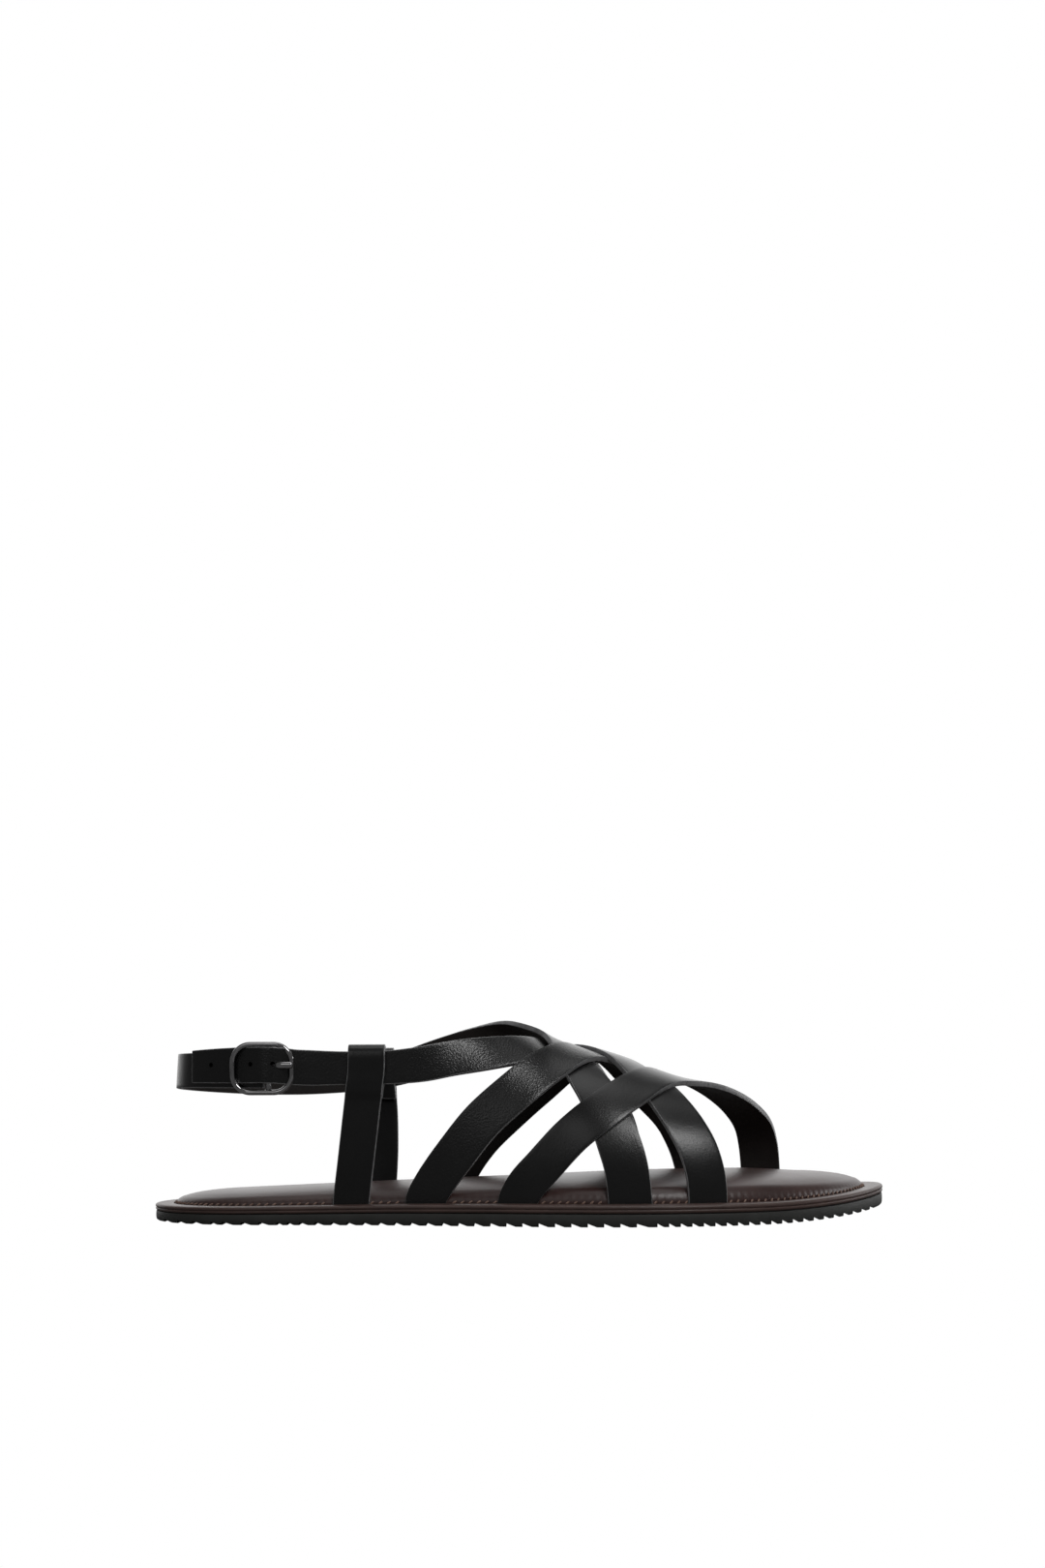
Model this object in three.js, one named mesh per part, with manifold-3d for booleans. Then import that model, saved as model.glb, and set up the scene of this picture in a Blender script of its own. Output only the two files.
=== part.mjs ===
// A men's strappy sandal for the right foot: five leather straps woven over the instep,
// a buckled ankle strap held by two T-bars, a padded footbed, a leather-wrapped midsole
// and a rubber outsole.
// Millimetres. +X runs from heel to toe, -Y is the outer side of the foot, +Z is up.
// The origin lies on the floor under the middle of the sole. In the tables, along is the
// distance from the back of the heel, side is Y and height is the height above the floor.

import * as THREE from 'three';
import { mergeVertices } from 'three/addons/utils/BufferGeometryUtils.js';
import Module from 'manifold-3d';

const wasm = await Module();
wasm.setup();

// Driving dimensions
const LENGTH = 295;
const CLEARANCE = 0.3;

const OUTSOLE_TOP = 5;
const MIDSOLE_BOTTOM = OUTSOLE_TOP + CLEARANCE;
const MIDSOLE_TOP = 8.4;
const FOOTBED_BOTTOM = MIDSOLE_TOP + CLEARANCE;
const HEEL_THINNING = 0.2;
const HEEL_THINNING_END = 150;
const TOE_SPRING = 4.0;
const TOE_SPRING_START = 236;
const OUTLINE_STEPS = 56;
const FOOTBED_INSET = 8.6;

const LUG_DEPTH = 1.4;
const LUG_LAND_SHARE = 0.42;
const GROOVE_WIDTH = 130;
const GROOVE_BELOW = 3;
const PAD_DEPTH = 4;
const HEEL_PAD = { along: 42, side: 0, length: 34, width: 26 };
const FOREFOOT_PAD = { along: 202, side: 0, length: 40, width: 44 };

const STRAP_THICKNESS = 2.2;
const STRAP_BITE = 0.25;
const STRAP_STEP = 5.3;
const STRAP_MARGIN = 0.6;
const STRAP_RAMP = 9;
const LIFT_SOFTNESS = 6;
const SLIT_DEPTH = 2;
const WEAVE_START = 104;

const BUCKLE_LENGTH = 25;
const BUCKLE_HEIGHT = 20.6;
const BUCKLE_CORNER = 7;
const BUCKLE_BAR = 1.05;
const BUCKLE_REACH = BUCKLE_LENGTH / 2 - BUCKLE_BAR;
const BUCKLE_RISE = BUCKLE_HEIGHT / 2 - BUCKLE_BAR;
const BUCKLE_ALONG = 47.8;
const BUCKLE_SIDE = -28;
const BUCKLE_CENTRE_HEIGHT = 60;
const BUCKLE_REAR_OFFSET = 5.6;
const BUCKLE_FRONT_OFFSET = 3.6;
const PIVOT_FORWARD = 2.4;
const PIVOT_SET_BACK = 0.9;
const PRONG_RISE = 1.2;
const PRONG_FLATNESS = 1.3;
const PRONG_LEVEL = 2 * BUCKLE_BAR + CLEARANCE;

const BLACK_LEATHER = { color: 0x18191b, roughness: 0.5, metalness: 0 };
const BROWN_LEATHER = { color: 0x3a1c16, roughness: 0.48, metalness: 0 };
const BLACK_RUBBER = { color: 0x1c1e1d, roughness: 0.75, metalness: 0 };
const GUNMETAL = { color: 0x3d3c3e, roughness: 0.35, metalness: 0.9 };

// The lugs, zone by zone: long at the heel, short under the toes
const LUG_ZONES = [
  { start: 12, end: 62, pitch: 7.2 },
  { start: 62, end: 197, pitch: 6.1 },
  { start: 197, end: 288, pitch: 4.4 },
];

// The sole's outline from above, from the back of the heel round by the outer side
const SOLE_OUTLINE = [
  { along: 0, side: 0 },
  { along: 4, side: -15 },
  { along: 15, side: -27 },
  { along: 34, side: -34.5 },
  { along: 62, side: -37 },
  { along: 95, side: -39.5 },
  { along: 128, side: -45 },
  { along: 160, side: -50.5 },
  { along: 187, side: -52.5 },
  { along: 212, side: -50.5 },
  { along: 237, side: -43.5 },
  { along: 258, side: -33 },
  { along: 275, side: -20 },
  { along: 287, side: -5 },
  { along: 294, side: 11 },
  { along: 294, side: 26 },
  { along: 288, side: 38 },
  { along: 276, side: 47.5 },
  { along: 256, side: 52 },
  { along: 232, side: 52.5 },
  { along: 205, side: 48.5 },
  { along: 178, side: 40 },
  { along: 150, side: 33 },
  { along: 120, side: 30.5 },
  { along: 90, side: 32 },
  { along: 60, side: 34.5 },
  { along: 34, side: 33.5 },
  { along: 15, side: 26.5 },
  { along: 4, side: 15 },
];

// The sole's layers, from the middle of the bottom round to the middle of the top. inset is
// measured from the sole's outline, and share runs from there, at 0, to the middle line, at 1.
const OUTSOLE_SECTION = [
  { inset: 1.4, share: 1, height: 0 },
  { inset: 1.4, share: 0, height: 0 },
  { inset: 0.2, share: 0, height: 1.6 },
  { inset: 0.3, share: 0, height: OUTSOLE_TOP },
  { inset: 0.3, share: 1, height: OUTSOLE_TOP },
];
const MIDSOLE_SECTION = [
  { inset: 0.9, share: 1, height: MIDSOLE_BOTTOM },
  { inset: 0.9, share: 0, height: MIDSOLE_BOTTOM },
  { inset: 0.2, share: 0, height: MIDSOLE_BOTTOM + 0.5 },
  { inset: 0, share: 0, height: MIDSOLE_BOTTOM + 1.4 },
  { inset: 0.2, share: 0, height: MIDSOLE_TOP - 0.7 },
  { inset: 0.9, share: 0, height: MIDSOLE_TOP - 0.1 },
  { inset: 1.8, share: 0, height: MIDSOLE_TOP },
  { inset: 1.8, share: 0.5, height: MIDSOLE_TOP },
  { inset: 1.8, share: 1, height: MIDSOLE_TOP },
];
// The footbed's, where rise is the share of the padding's height
const FOOTBED_SECTION = [
  { inset: FOOTBED_INSET, share: 1, height: FOOTBED_BOTTOM },
  { inset: FOOTBED_INSET, share: 0.5, height: FOOTBED_BOTTOM },
  { inset: FOOTBED_INSET, share: 0, height: FOOTBED_BOTTOM },
  { inset: FOOTBED_INSET, share: 0, height: FOOTBED_BOTTOM, rise: 0.2 },
  { inset: FOOTBED_INSET + 1, share: 0, height: FOOTBED_BOTTOM, rise: 0.45 },
  { inset: FOOTBED_INSET + 3, share: 0, height: FOOTBED_BOTTOM, rise: 0.66 },
  { inset: FOOTBED_INSET + 3, share: 0.2, height: FOOTBED_BOTTOM, rise: 0.8 },
  { inset: FOOTBED_INSET + 3, share: 0.45, height: FOOTBED_BOTTOM, rise: 0.93 },
  { inset: FOOTBED_INSET + 3, share: 0.72, height: FOOTBED_BOTTOM, rise: 0.99 },
  { inset: FOOTBED_INSET + 3, share: 1, height: FOOTBED_BOTTOM, rise: 1 },
];

// The middle line of the sole, which the padding rises to, and the padding's height there
const MIDDLE_START = 32;
const MIDDLE_END = 262;
const PADDING = [
  { along: 0, side: 0, height: 4.0 },
  { along: 32, side: 0, height: 5.0 },
  { along: 90, side: -1, height: 6.7 },
  { along: 140, side: -1, height: 8.2 },
  { along: 200, side: 9, height: 9.8 },
  { along: 236, side: 15, height: 9.95 },
  { along: 262, side: 17, height: 8.0 },
  { along: 295, side: 17, height: 5.3 },
];

// The last, which is the foot's form inside the straps, section by section. crest is the
// height of its ridge, and outer and inner are its half widths. At the ankle the leg
// goes on upwards, and behind it the heel is rounded.
const LAST_RIDGE = 2;
const LAST_FULLNESS = 2.3;
const LAST_HEEL_CENTRE = 60;
const LAST_HEEL_REACH = 50.5;
const LAST = [
  { along: 0, crest: 190, outer: 30.5, inner: 26 },
  { along: 60, crest: 190, outer: 30.5, inner: 26 },
  { along: 95, crest: 165, outer: 31.5, inner: 26.5 },
  { along: 110, crest: 124, outer: 32, inner: 23.5 },
  { along: 120, crest: 98, outer: 33.5, inner: 21.2 },
  { along: 132, crest: 83.5, outer: 36, inner: 21.2 },
  { along: 143, crest: 76, outer: 38.3, inner: 22.4 },
  { along: 150, crest: 72, outer: 39.6, inner: 23.4 },
  { along: 158, crest: 67, outer: 40.7, inner: 25.5 },
  { along: 166, crest: 64, outer: 41.7, inner: 28 },
  { along: 175, crest: 62.6, outer: 42.7, inner: 30.5 },
  { along: 183, crest: 61, outer: 43, inner: 32.6 },
  { along: 198, crest: 56.8, outer: 42.6, inner: 37 },
  { along: 212, crest: 53.6, outer: 41, inner: 40.7 },
  { along: 225, crest: 51.4, outer: 38, inner: 42.4 },
  { along: 238, crest: 48.6, outer: 33, inner: 43 },
  { along: 250, crest: 45, outer: 27, inner: 42.6 },
  { along: 295, crest: 30, outer: 10, inner: 30 },
];

// The straps' centre lines, each from the slit it rises out of. A row lies near the last,
// and lift stands it off the last, as where the ankle strap's tail passes the buckle.
// Each strap in the list lies over the ones before it where they cross.
const STRAPS = [
  {
    name: 'ankle_strap_outer',
    open_end: true,
    rows: [
      { along: 192.5, side: 36, height: 9, width: 15.4 },
      { along: 191, side: 35, height: 20, width: 15.4 },
      { along: 186, side: 31, height: 38, width: 15.2 },
      { along: 177, side: 23, height: 51, width: 14.8 },
      { along: 170, side: 12, height: 60, width: 14.4 },
      { along: 164, side: 1, height: 65, width: 14.4 },
      { along: 158.5, side: -8, height: 66.5, width: 14.4 },
      { along: 152, side: -16, height: 66.5, width: 14.2 },
      { along: 143, side: -22, height: 66, width: 14 },
      { along: 132, side: -26, height: 65, width: 13.8 },
      { along: 120, side: -29, height: 63.6, width: 13.7 },
      { along: 108, side: -30, height: 61.3, width: 13.6 },
      { along: 92, side: -31, height: 60, width: 12.8 },
      { along: 77, side: -31, height: 60, width: 12.9 },
      { along: 66, side: -30, height: 60.1, width: 13.6 },
      { along: 59, side: -30, height: 60.4, width: 13.7, lift: 0.4 },
      { along: 54.5, side: -29, height: 60.8, width: 13.8, lift: 3.4 },
      { along: 50, side: -28, height: 61, width: 13.8, lift: 4.9 },
      { along: 45, side: -27, height: 61, width: 13.8, lift: 3.8 },
      { along: 39.5, side: -26, height: 61, width: 13.8, lift: 2.2 },
      { along: 30, side: -23, height: 60.8, width: 13.3, lift: 1.95 },
      { along: 22, side: -18, height: 60.5, width: 12.6, lift: 1.95 },
    ],
  },
  {
    name: 'ankle_strap_inner',
    open_end: true,
    rows: [
      { along: 187.7, side: -43, height: 9, width: 16.6 },
      { along: 186.2, side: -43, height: 22, width: 16.6 },
      { along: 183.4, side: -41, height: 32, width: 16.6 },
      { along: 178.6, side: -36, height: 46, width: 15.8 },
      { along: 173.5, side: -28, height: 55, width: 14.8 },
      { along: 166, side: -14, height: 63, width: 14.2, lift: 0.4 },
      { along: 155, side: 4, height: 69, width: 14, lift: 1.8 },
      { along: 142, side: 13, height: 72.5, width: 14.2, lift: 1.4 },
      { along: 128, side: 18, height: 70, width: 13.8, lift: 0.5 },
      { along: 115, side: 22, height: 66, width: 13.6 },
      { along: 104, side: 25, height: 62.3, width: 13.6 },
      { along: 96, side: 26, height: 59.7, width: 13.2 },
      { along: 86, side: 26, height: 57.8, width: 13 },
      { along: 75, side: 26, height: 56.9, width: 13.4 },
      { along: 55, side: 25, height: 56, width: 13.6 },
      { along: 35, side: 22, height: 56.3, width: 13.6 },
      { along: 18, side: 13, height: 57.5, width: 13.6 },
      { along: 11, side: 0, height: 58.8, width: 13.6 },
      { along: 18, side: -15, height: 59.2, width: 13.6 },
      { along: 30, side: -23, height: 59.2, width: 13.6 },
      { along: 40, side: -26, height: 59.1, width: 13.6 },
      { along: 48, side: -28, height: 59.1, width: 13.6 },
    ],
  },
  {
    name: 'instep_strap_rear',
    rows: [
      { along: 110, side: -33, height: 9, width: 15.6 },
      { along: 113.5, side: -33, height: 16, width: 15.6 },
      { along: 121.5, side: -34, height: 27, width: 15.8 },
      { along: 131.5, side: -33, height: 39, width: 15.8 },
      { along: 144.5, side: -30, height: 50, width: 15.8 },
      { along: 155.5, side: -24, height: 58, width: 15.8 },
      { along: 167, side: -13, height: 62.5, width: 15.8 },
      { along: 179, side: 0, height: 62, width: 15.8 },
      { along: 190.5, side: 14, height: 57.5, width: 15.8 },
      { along: 199, side: 25, height: 51, width: 15.8 },
      { along: 209.5, side: 35, height: 41, width: 15.8 },
      { along: 217, side: 40, height: 27, width: 15.8 },
      { along: 220.5, side: 41.5, height: 15, width: 15.8 },
      { along: 221, side: 42, height: 9, width: 15.8 },
    ],
  },
  {
    name: 'vamp_strap',
    rows: [
      { along: 217, side: -40, height: 9, width: 15.2 },
      { along: 216.5, side: -40, height: 18, width: 15.2 },
      { along: 214, side: -39, height: 28.6, width: 15.2 },
      { along: 210, side: -36, height: 37, width: 15.2 },
      { along: 205, side: -31, height: 45.5, width: 15.2 },
      { along: 198, side: -21, height: 53, width: 15.4 },
      { along: 190, side: -9, height: 58, width: 15.6 },
      { along: 179, side: 3, height: 62, width: 15.8 },
      { along: 168, side: 13, height: 61, width: 15.8 },
      { along: 156, side: 20, height: 54, width: 15.8 },
      { along: 142.5, side: 22.5, height: 42.8, width: 15.8 },
      { along: 128.5, side: 21.5, height: 28.6, width: 15.8 },
      { along: 120.5, side: 21.2, height: 16, width: 15.8 },
      { along: 119, side: 21, height: 9, width: 15.8 },
    ],
  },
  {
    name: 'instep_strap_front',
    rows: [
      { along: 145.4, side: -39, height: 9, width: 14.8 },
      { along: 148.5, side: -39, height: 15, width: 14.8 },
      { along: 154.6, side: -40, height: 22, width: 14.8 },
      { along: 165.4, side: -39, height: 33.4, width: 14.8 },
      { along: 177.5, side: -36, height: 42.3, width: 14.8 },
      { along: 188, side: -29, height: 48.5, width: 14.8 },
      { along: 200, side: -16, height: 53, width: 15 },
      { along: 212.5, side: -1, height: 54, width: 14.6 },
      { along: 226, side: 15, height: 50, width: 14.4 },
      { along: 237.5, side: 27, height: 44, width: 14.8 },
      { along: 244, side: 34.5, height: 36.5, width: 15.6 },
      { along: 247, side: 40, height: 27, width: 16.2 },
      { along: 248.3, side: 42, height: 16, width: 16.2 },
      { along: 248.5, side: 42.7, height: 9, width: 16.2 },
    ],
  },
];

// The T-bars: each strip rises from its slit, passes outside the ankle strap, folds over
// the top of it and comes down inside. out is the distance from the middle plane.
const TBAR_WIDTH = 14.2;
const TBAR_THICKNESS = 1.9;
const TBAR_LOOP_HEIGHT = 60;
const TBAR_SEAM = { length: 12.2, thickness: 2.4, height: 1.8 };
const TBARS = [
  {
    name: 'tbar_outer',
    hand: -1,
    foot: 81,
    loop: 87.4,
    skew: 0.03,
    bow: 0,
    rows: [
      { out: 29.9, height: 6.2 },
      { out: 29.9, height: 10 },
      { out: 31.0, height: 25 },
      { out: 32.2, height: 40 },
      { out: 32.7, height: 47.6 },
      { out: 34.0, height: 52 },
      { out: 34.0, height: 59 },
      { out: 33.9, height: 65.4 },
      { out: 33.1, height: 67.3 },
      { out: 31.1, height: 68.2 },
      { out: 29.0, height: 67.5 },
      { out: 28.2, height: 65.6 },
      { out: 28.3, height: 59 },
      { out: 28.8, height: 48.2 },
    ],
    seam: { out: 30.8, height: 49.2 },
  },
  {
    name: 'tbar_inner',
    hand: 1,
    foot: 87.5,
    loop: 86.6,
    skew: 0.01,
    bow: 1.2,
    rows: [
      { out: 23.5, height: 6.2 },
      { out: 23.5, height: 10 },
      { out: 25.6, height: 25 },
      { out: 27.2, height: 40 },
      { out: 27.8, height: 46.8 },
      { out: 29.6, height: 51.2 },
      { out: 29.5, height: 59 },
      { out: 29.4, height: 64.8 },
      { out: 28.6, height: 66.7 },
      { out: 26.5, height: 67.7 },
      { out: 24.2, height: 67 },
      { out: 23.2, height: 65.2 },
      { out: 23.3, height: 59 },
      { out: 24.2, height: 47.4 },
    ],
    seam: { out: 26.0, height: 48.4 },
  },
];

// The prong's path: forward of the frame's centre, and out from its middle plane
const PRONG_PATH = [
  { forward: PIVOT_FORWARD + 1.6, out: 0.4 },
  { forward: PIVOT_FORWARD + 3.2, out: 1.4 },
  { forward: PIVOT_FORWARD + 5.4, out: 2.2 },
  { forward: BUCKLE_REACH - 1.4, out: PRONG_LEVEL },
  { forward: BUCKLE_REACH + 0.2, out: PRONG_LEVEL },
];

// A smooth curve through one column of a table, without overshoot between its rows
function column(rows, key) {
  const at = rows.map((row) => row.along);
  const value = rows.map((row) => row[key]);
  const slope = rows.map((row, i) => {
    if (i === 0 || i === rows.length - 1) return 0;
    const before = (value[i] - value[i - 1]) / (at[i] - at[i - 1]);
    const after = (value[i + 1] - value[i]) / (at[i + 1] - at[i]);
    return before * after <= 0 ? 0 : (2 * before * after) / (before + after);
  });
  return (along) => {
    if (along <= at[0]) return value[0];
    if (along >= at[at.length - 1]) return value[value.length - 1];
    const i = at.findIndex((end) => end > along) - 1;
    const span = at[i + 1] - at[i];
    const t = (along - at[i]) / span;
    const rise = t * t * (3 - 2 * t);
    const bend = t * (1 - t) * span;
    return value[i] * (1 - rise) + value[i + 1] * rise + bend * ((1 - t) * slope[i] - t * slope[i + 1]);
  };
}

const smoothstep = (from, to, value) => THREE.MathUtils.smoothstep(value, from, to);
const crestAt = column(LAST, 'crest');
const outerAt = column(LAST, 'outer');
const innerAt = column(LAST, 'inner');
const middleAt = column(PADDING, 'side');
const paddingAt = column(PADDING, 'height');

// How far the toe curls up off the floor
function toeSpring(along) {
  const t = Math.max(0, along - TOE_SPRING_START) / (LENGTH - TOE_SPRING_START);
  return TOE_SPRING * t * t;
}

// A layer's height, lower at the heel, where the sole is thinner, and raised by the toe spring
function soleLevel(along, height) {
  const thinning = HEEL_THINNING * (1 - smoothstep(0, HEEL_THINNING_END, along));
  return height * (1 - thinning) + toeSpring(along);
}

const outline = makeOutline();
const middleOf = (key) => {
  const values = outline.map((spot) => spot[key]);
  return (Math.min(...values) + Math.max(...values)) / 2;
};
const MIDDLE = { along: middleOf('along'), side: middleOf('side') };

const place = (along, side, height) => new THREE.Vector3(along - MIDDLE.along, side - MIDDLE.side, height);
const alongOf = (point) => point.x + MIDDLE.along;
const sideOf = (point) => point.y + MIDDLE.side;

// A closed solid from a grid of vertices: rings of equal length, closed round each ring.
// Its two ends are closed by faces that run from side to side.
function ringSolid(rings, { closed = false } = {}) {
  const size = rings[0].length;
  const positions = rings.flat().flatMap((point) => [point.x, point.y, point.z]);
  const faces = [];
  const last = closed ? rings.length : rings.length - 1;
  for (let i = 0; i < last; i += 1) {
    for (let k = 0; k < size; k += 1) {
      const a = i * size + k;
      const b = i * size + ((k + 1) % size);
      const c = ((i + 1) % rings.length) * size + k;
      const d = ((i + 1) % rings.length) * size + ((k + 1) % size);
      faces.push(a, b, d, a, d, c);
    }
  }
  if (!closed) {
    const end = (rings.length - 1) * size;
    for (let k = 0; k < size / 2; k += 1) {
      const [near, far] = [(size - k) % size, size - k - 1];
      faces.push(k, near, k + 1, k + 1, near, far);
      faces.push(end + k, end + k + 1, end + near, end + k + 1, end + far, end + near);
    }
  }
  return solidFrom(positions, faces);
}

// A manifold solid from positions and faces, turned right side out
function solidFrom(positions, faces) {
  let geometry = new THREE.BufferGeometry();
  geometry.setAttribute('position', new THREE.Float32BufferAttribute(positions, 3));
  geometry.setIndex(faces);
  geometry = mergeVertices(geometry, 1e-4);
  const vertProperties = geometry.attributes.position.array;
  let triVerts = Array.from(geometry.index.array);
  triVerts = dropSlivers(triVerts);
  if (signedVolume(vertProperties, triVerts) < 0) triVerts.reverse();
  const mesh = new wasm.Mesh({ numProp: 3, vertProperties, triVerts: new Uint32Array(triVerts) });
  return new wasm.Manifold(mesh);
}

function dropSlivers(indices) {
  const kept = [];
  for (let i = 0; i < indices.length; i += 3) {
    const [a, b, c] = indices.slice(i, i + 3);
    if (a !== b && b !== c && c !== a) kept.push(a, b, c);
  }
  return kept;
}

function signedVolume(positions, indices) {
  const a = new THREE.Vector3();
  const b = new THREE.Vector3();
  const c = new THREE.Vector3();
  let volume = 0;
  for (let i = 0; i < indices.length; i += 3) {
    a.fromArray(positions, indices[i] * 3);
    b.fromArray(positions, indices[i + 1] * 3);
    c.fromArray(positions, indices[i + 2] * 3);
    volume += a.dot(b.cross(c)) / 6;
  }
  return volume;
}

function solidFromGeometry(geometry) {
  const bare = geometry.index ? geometry.clone() : mergeVertices(geometry);
  bare.deleteAttribute('normal');
  bare.deleteAttribute('uv');
  const merged = mergeVertices(bare, 1e-4);
  return solidFrom(Array.from(merged.attributes.position.array), Array.from(merged.index.array));
}

function meshFromSolid(name, solid, look) {
  const { vertProperties, triVerts, numProp } = solid.getMesh();
  const geometry = new THREE.BufferGeometry();
  const positions = [];
  for (let i = 0; i < vertProperties.length; i += numProp) {
    positions.push(vertProperties[i], vertProperties[i + 1], vertProperties[i + 2]);
  }
  geometry.setAttribute('position', new THREE.Float32BufferAttribute(positions, 3));
  geometry.setIndex(Array.from(triVerts));
  geometry.computeVertexNormals();
  const mesh = new THREE.Mesh(geometry, new THREE.MeshStandardMaterial(look));
  mesh.name = name;
  return mesh;
}

// The sole's outline, evenly stepped, with the direction that leads inwards at each step
function makeOutline() {
  const corners = SOLE_OUTLINE.map(({ along, side }) => new THREE.Vector3(along, side, 0));
  const curve = new THREE.CatmullRomCurve3(corners, true, 'centripetal');
  const points = curve.getSpacedPoints(OUTLINE_STEPS).slice(0, OUTLINE_STEPS);
  return points.map((point, i) => {
    const before = points[(i + OUTLINE_STEPS - 1) % OUTLINE_STEPS];
    const after = points[(i + 1) % OUTLINE_STEPS];
    const inward = new THREE.Vector3(before.y - after.y, after.x - before.x, 0).normalize();
    return { along: point.x, side: point.y, inward };
  });
}

// One ring of a layer: inset from the outline, led inwards by its share and raised by the
// toe spring and the padding
function soleRing({ inset, share, height, rise = 0 }) {
  return outline.map(({ along, side, inward }) => {
    const edgeAlong = along + inward.x * inset;
    const edgeSide = side + inward.y * inset;
    const goalAlong = THREE.MathUtils.clamp(edgeAlong, MIDDLE_START, MIDDLE_END);
    const there = THREE.MathUtils.lerp(edgeAlong, goalAlong, share);
    const across = THREE.MathUtils.lerp(edgeSide, middleAt(goalAlong), share);
    return place(there, across, soleLevel(there, height) + paddingAt(there) * rise);
  });
}

// The rubber outsole, cut from below by saw-toothed grooves, with a bare pad at the heel
// and one at the ball
function makeOutsole() {
  const pads = [HEEL_PAD, FOREFOOT_PAD].map(({ along, side, length, width }) => {
    const box = new THREE.BoxGeometry(length, width, PAD_DEPTH);
    const centre = place(along, side, 0);
    box.translate(centre.x, centre.y, 0);
    return solidFromGeometry(box);
  });
  const grooves = LUG_ZONES.flatMap(({ start, end, pitch }) => {
    const count = Math.round((end - start) / pitch);
    return Array.from({ length: count }, (_, i) => makeGroove(start + i * pitch, pitch));
  });
  const cuts = wasm.Manifold.union(grooves).subtract(wasm.Manifold.union(pads));
  return ringSolid(OUTSOLE_SECTION.map(soleRing)).subtract(cuts);
}

// One groove across the sole: upright at its back and sloping to the land in front
function makeGroove(along, pitch) {
  const length = pitch * (1 - LUG_LAND_SHARE);
  const lift = toeSpring(along + length);
  const profile = new THREE.Shape([
    new THREE.Vector2(0, -GROOVE_BELOW),
    new THREE.Vector2(length, -GROOVE_BELOW),
    new THREE.Vector2(length, lift),
    new THREE.Vector2(0, lift + LUG_DEPTH),
  ]);
  const geometry = new THREE.ExtrudeGeometry(profile, { depth: GROOVE_WIDTH, bevelEnabled: false });
  geometry.rotateX(Math.PI / 2);
  const start = place(along, GROOVE_WIDTH / 2, 0);
  geometry.translate(start.x, start.y, 0);
  return solidFromGeometry(geometry);
}

// How full the last is at a point: 1 on its surface, less inside
function lastLevel(point) {
  const along = alongOf(point);
  const base = soleLevel(along, MIDSOLE_TOP);
  const across = sideOf(point) - LAST_RIDGE;
  const half = across < 0 ? outerAt(along) + LAST_RIDGE : innerAt(along) - LAST_RIDGE;
  const u = Math.abs(across) / half;
  const v = Math.max(0, point.z - base) / (crestAt(along) - base);
  const w = Math.max(0, LAST_HEEL_CENTRE - along) / LAST_HEEL_REACH;
  const n = LAST_FULLNESS;
  return (u ** n + v ** n + w ** n) ** (1 / n);
}

function lastGradient(point) {
  const step = 0.05;
  const level = (x, y, z) => lastLevel(new THREE.Vector3(point.x + x, point.y + y, point.z + z));
  return new THREE.Vector3(
    level(step, 0, 0) - level(-step, 0, 0),
    level(0, step, 0) - level(0, -step, 0),
    level(0, 0, step) - level(0, 0, -step),
  ).divideScalar(2 * step);
}

// The nearest point on the last's surface, and the way out of it there
function onLast(point) {
  const there = point.clone();
  for (let i = 0; i < 6; i += 1) {
    const gradient = lastGradient(there);
    there.addScaledVector(gradient, (1 - lastLevel(there)) / gradient.lengthSq());
  }
  return { there, out: lastGradient(there).normalize() };
}

// A strap's centre line, stepped evenly, with its width, its lift and its way across
function makeCentreLine(strap) {
  const start = strap.rows[0];
  const finish = strap.rows[strap.rows.length - 1];
  const slitFoot = (row) => ({ ...row, height: soleLevel(row.along, MIDSOLE_TOP) - SLIT_DEPTH });
  const rows = [slitFoot(start), ...strap.rows];
  if (!strap.open_end) rows.push(slitFoot(finish));
  const points = rows.map((row) => onLast(place(row.along, row.side, row.height)).there);
  const path = new THREE.CatmullRomCurve3(points, false, 'centripetal');
  const traits = new THREE.CatmullRomCurve3(
    rows.map(({ width, lift = 0 }) => new THREE.Vector3(width, lift, 0)),
    false,
    'catmullrom',
    0.5,
  );
  const steps = Math.round(path.getLength() / STRAP_STEP);
  const line = [];
  for (let i = 0; i <= steps; i += 1) {
    const t = path.getUtoTmapping(i / steps);
    const { there, out } = onLast(path.getPoint(t));
    const { x: width, y: lift } = traits.getPoint(t);
    line.push({ there, out, width, lift: Math.max(0, lift) });
  }
  line.forEach((step, i) => {
    const before = line[Math.max(0, i - 1)].there;
    const after = line[Math.min(steps, i + 1)].there;
    step.across = after.clone().sub(before).cross(step.out).normalize();
    step.foot = i === 0 || (i === steps && !strap.open_end);
  });
  return line;
}

// Raises a strap over the ones below it, at its two edges and in its middle. Leather is
// stiff, so the rise is eased along the strap and evened out across it.
function raiseOver(line, under) {
  const needed = line.map((step) => {
    if (alongOf(step.there) < WEAVE_START) return [0, 0, 0];
    return [-1, 0, 1].map((share) => {
      const spot = step.there.clone().addScaledVector(step.across, share * (step.width / 2));
      return heldUp(onLast(spot).there, under);
    });
  });
  line.forEach((step, i) => {
    const weights = line.map((_, j) => Math.exp(-((((i - j) * STRAP_STEP) / LIFT_SOFTNESS) ** 2) / 2));
    const whole = weights.reduce((sum, weight) => sum + weight, 0);
    const [low, middle, high] = [0, 1, 2].map((k) => {
      return weights.reduce((sum, weight, j) => sum + weight * needed[j][k], 0) / whole;
    });
    const even = (low + 2 * middle + high) / 4;
    step.lifts = [low, middle, high].map((lift) => step.lift + (lift + even) / 2);
  });
}

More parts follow.
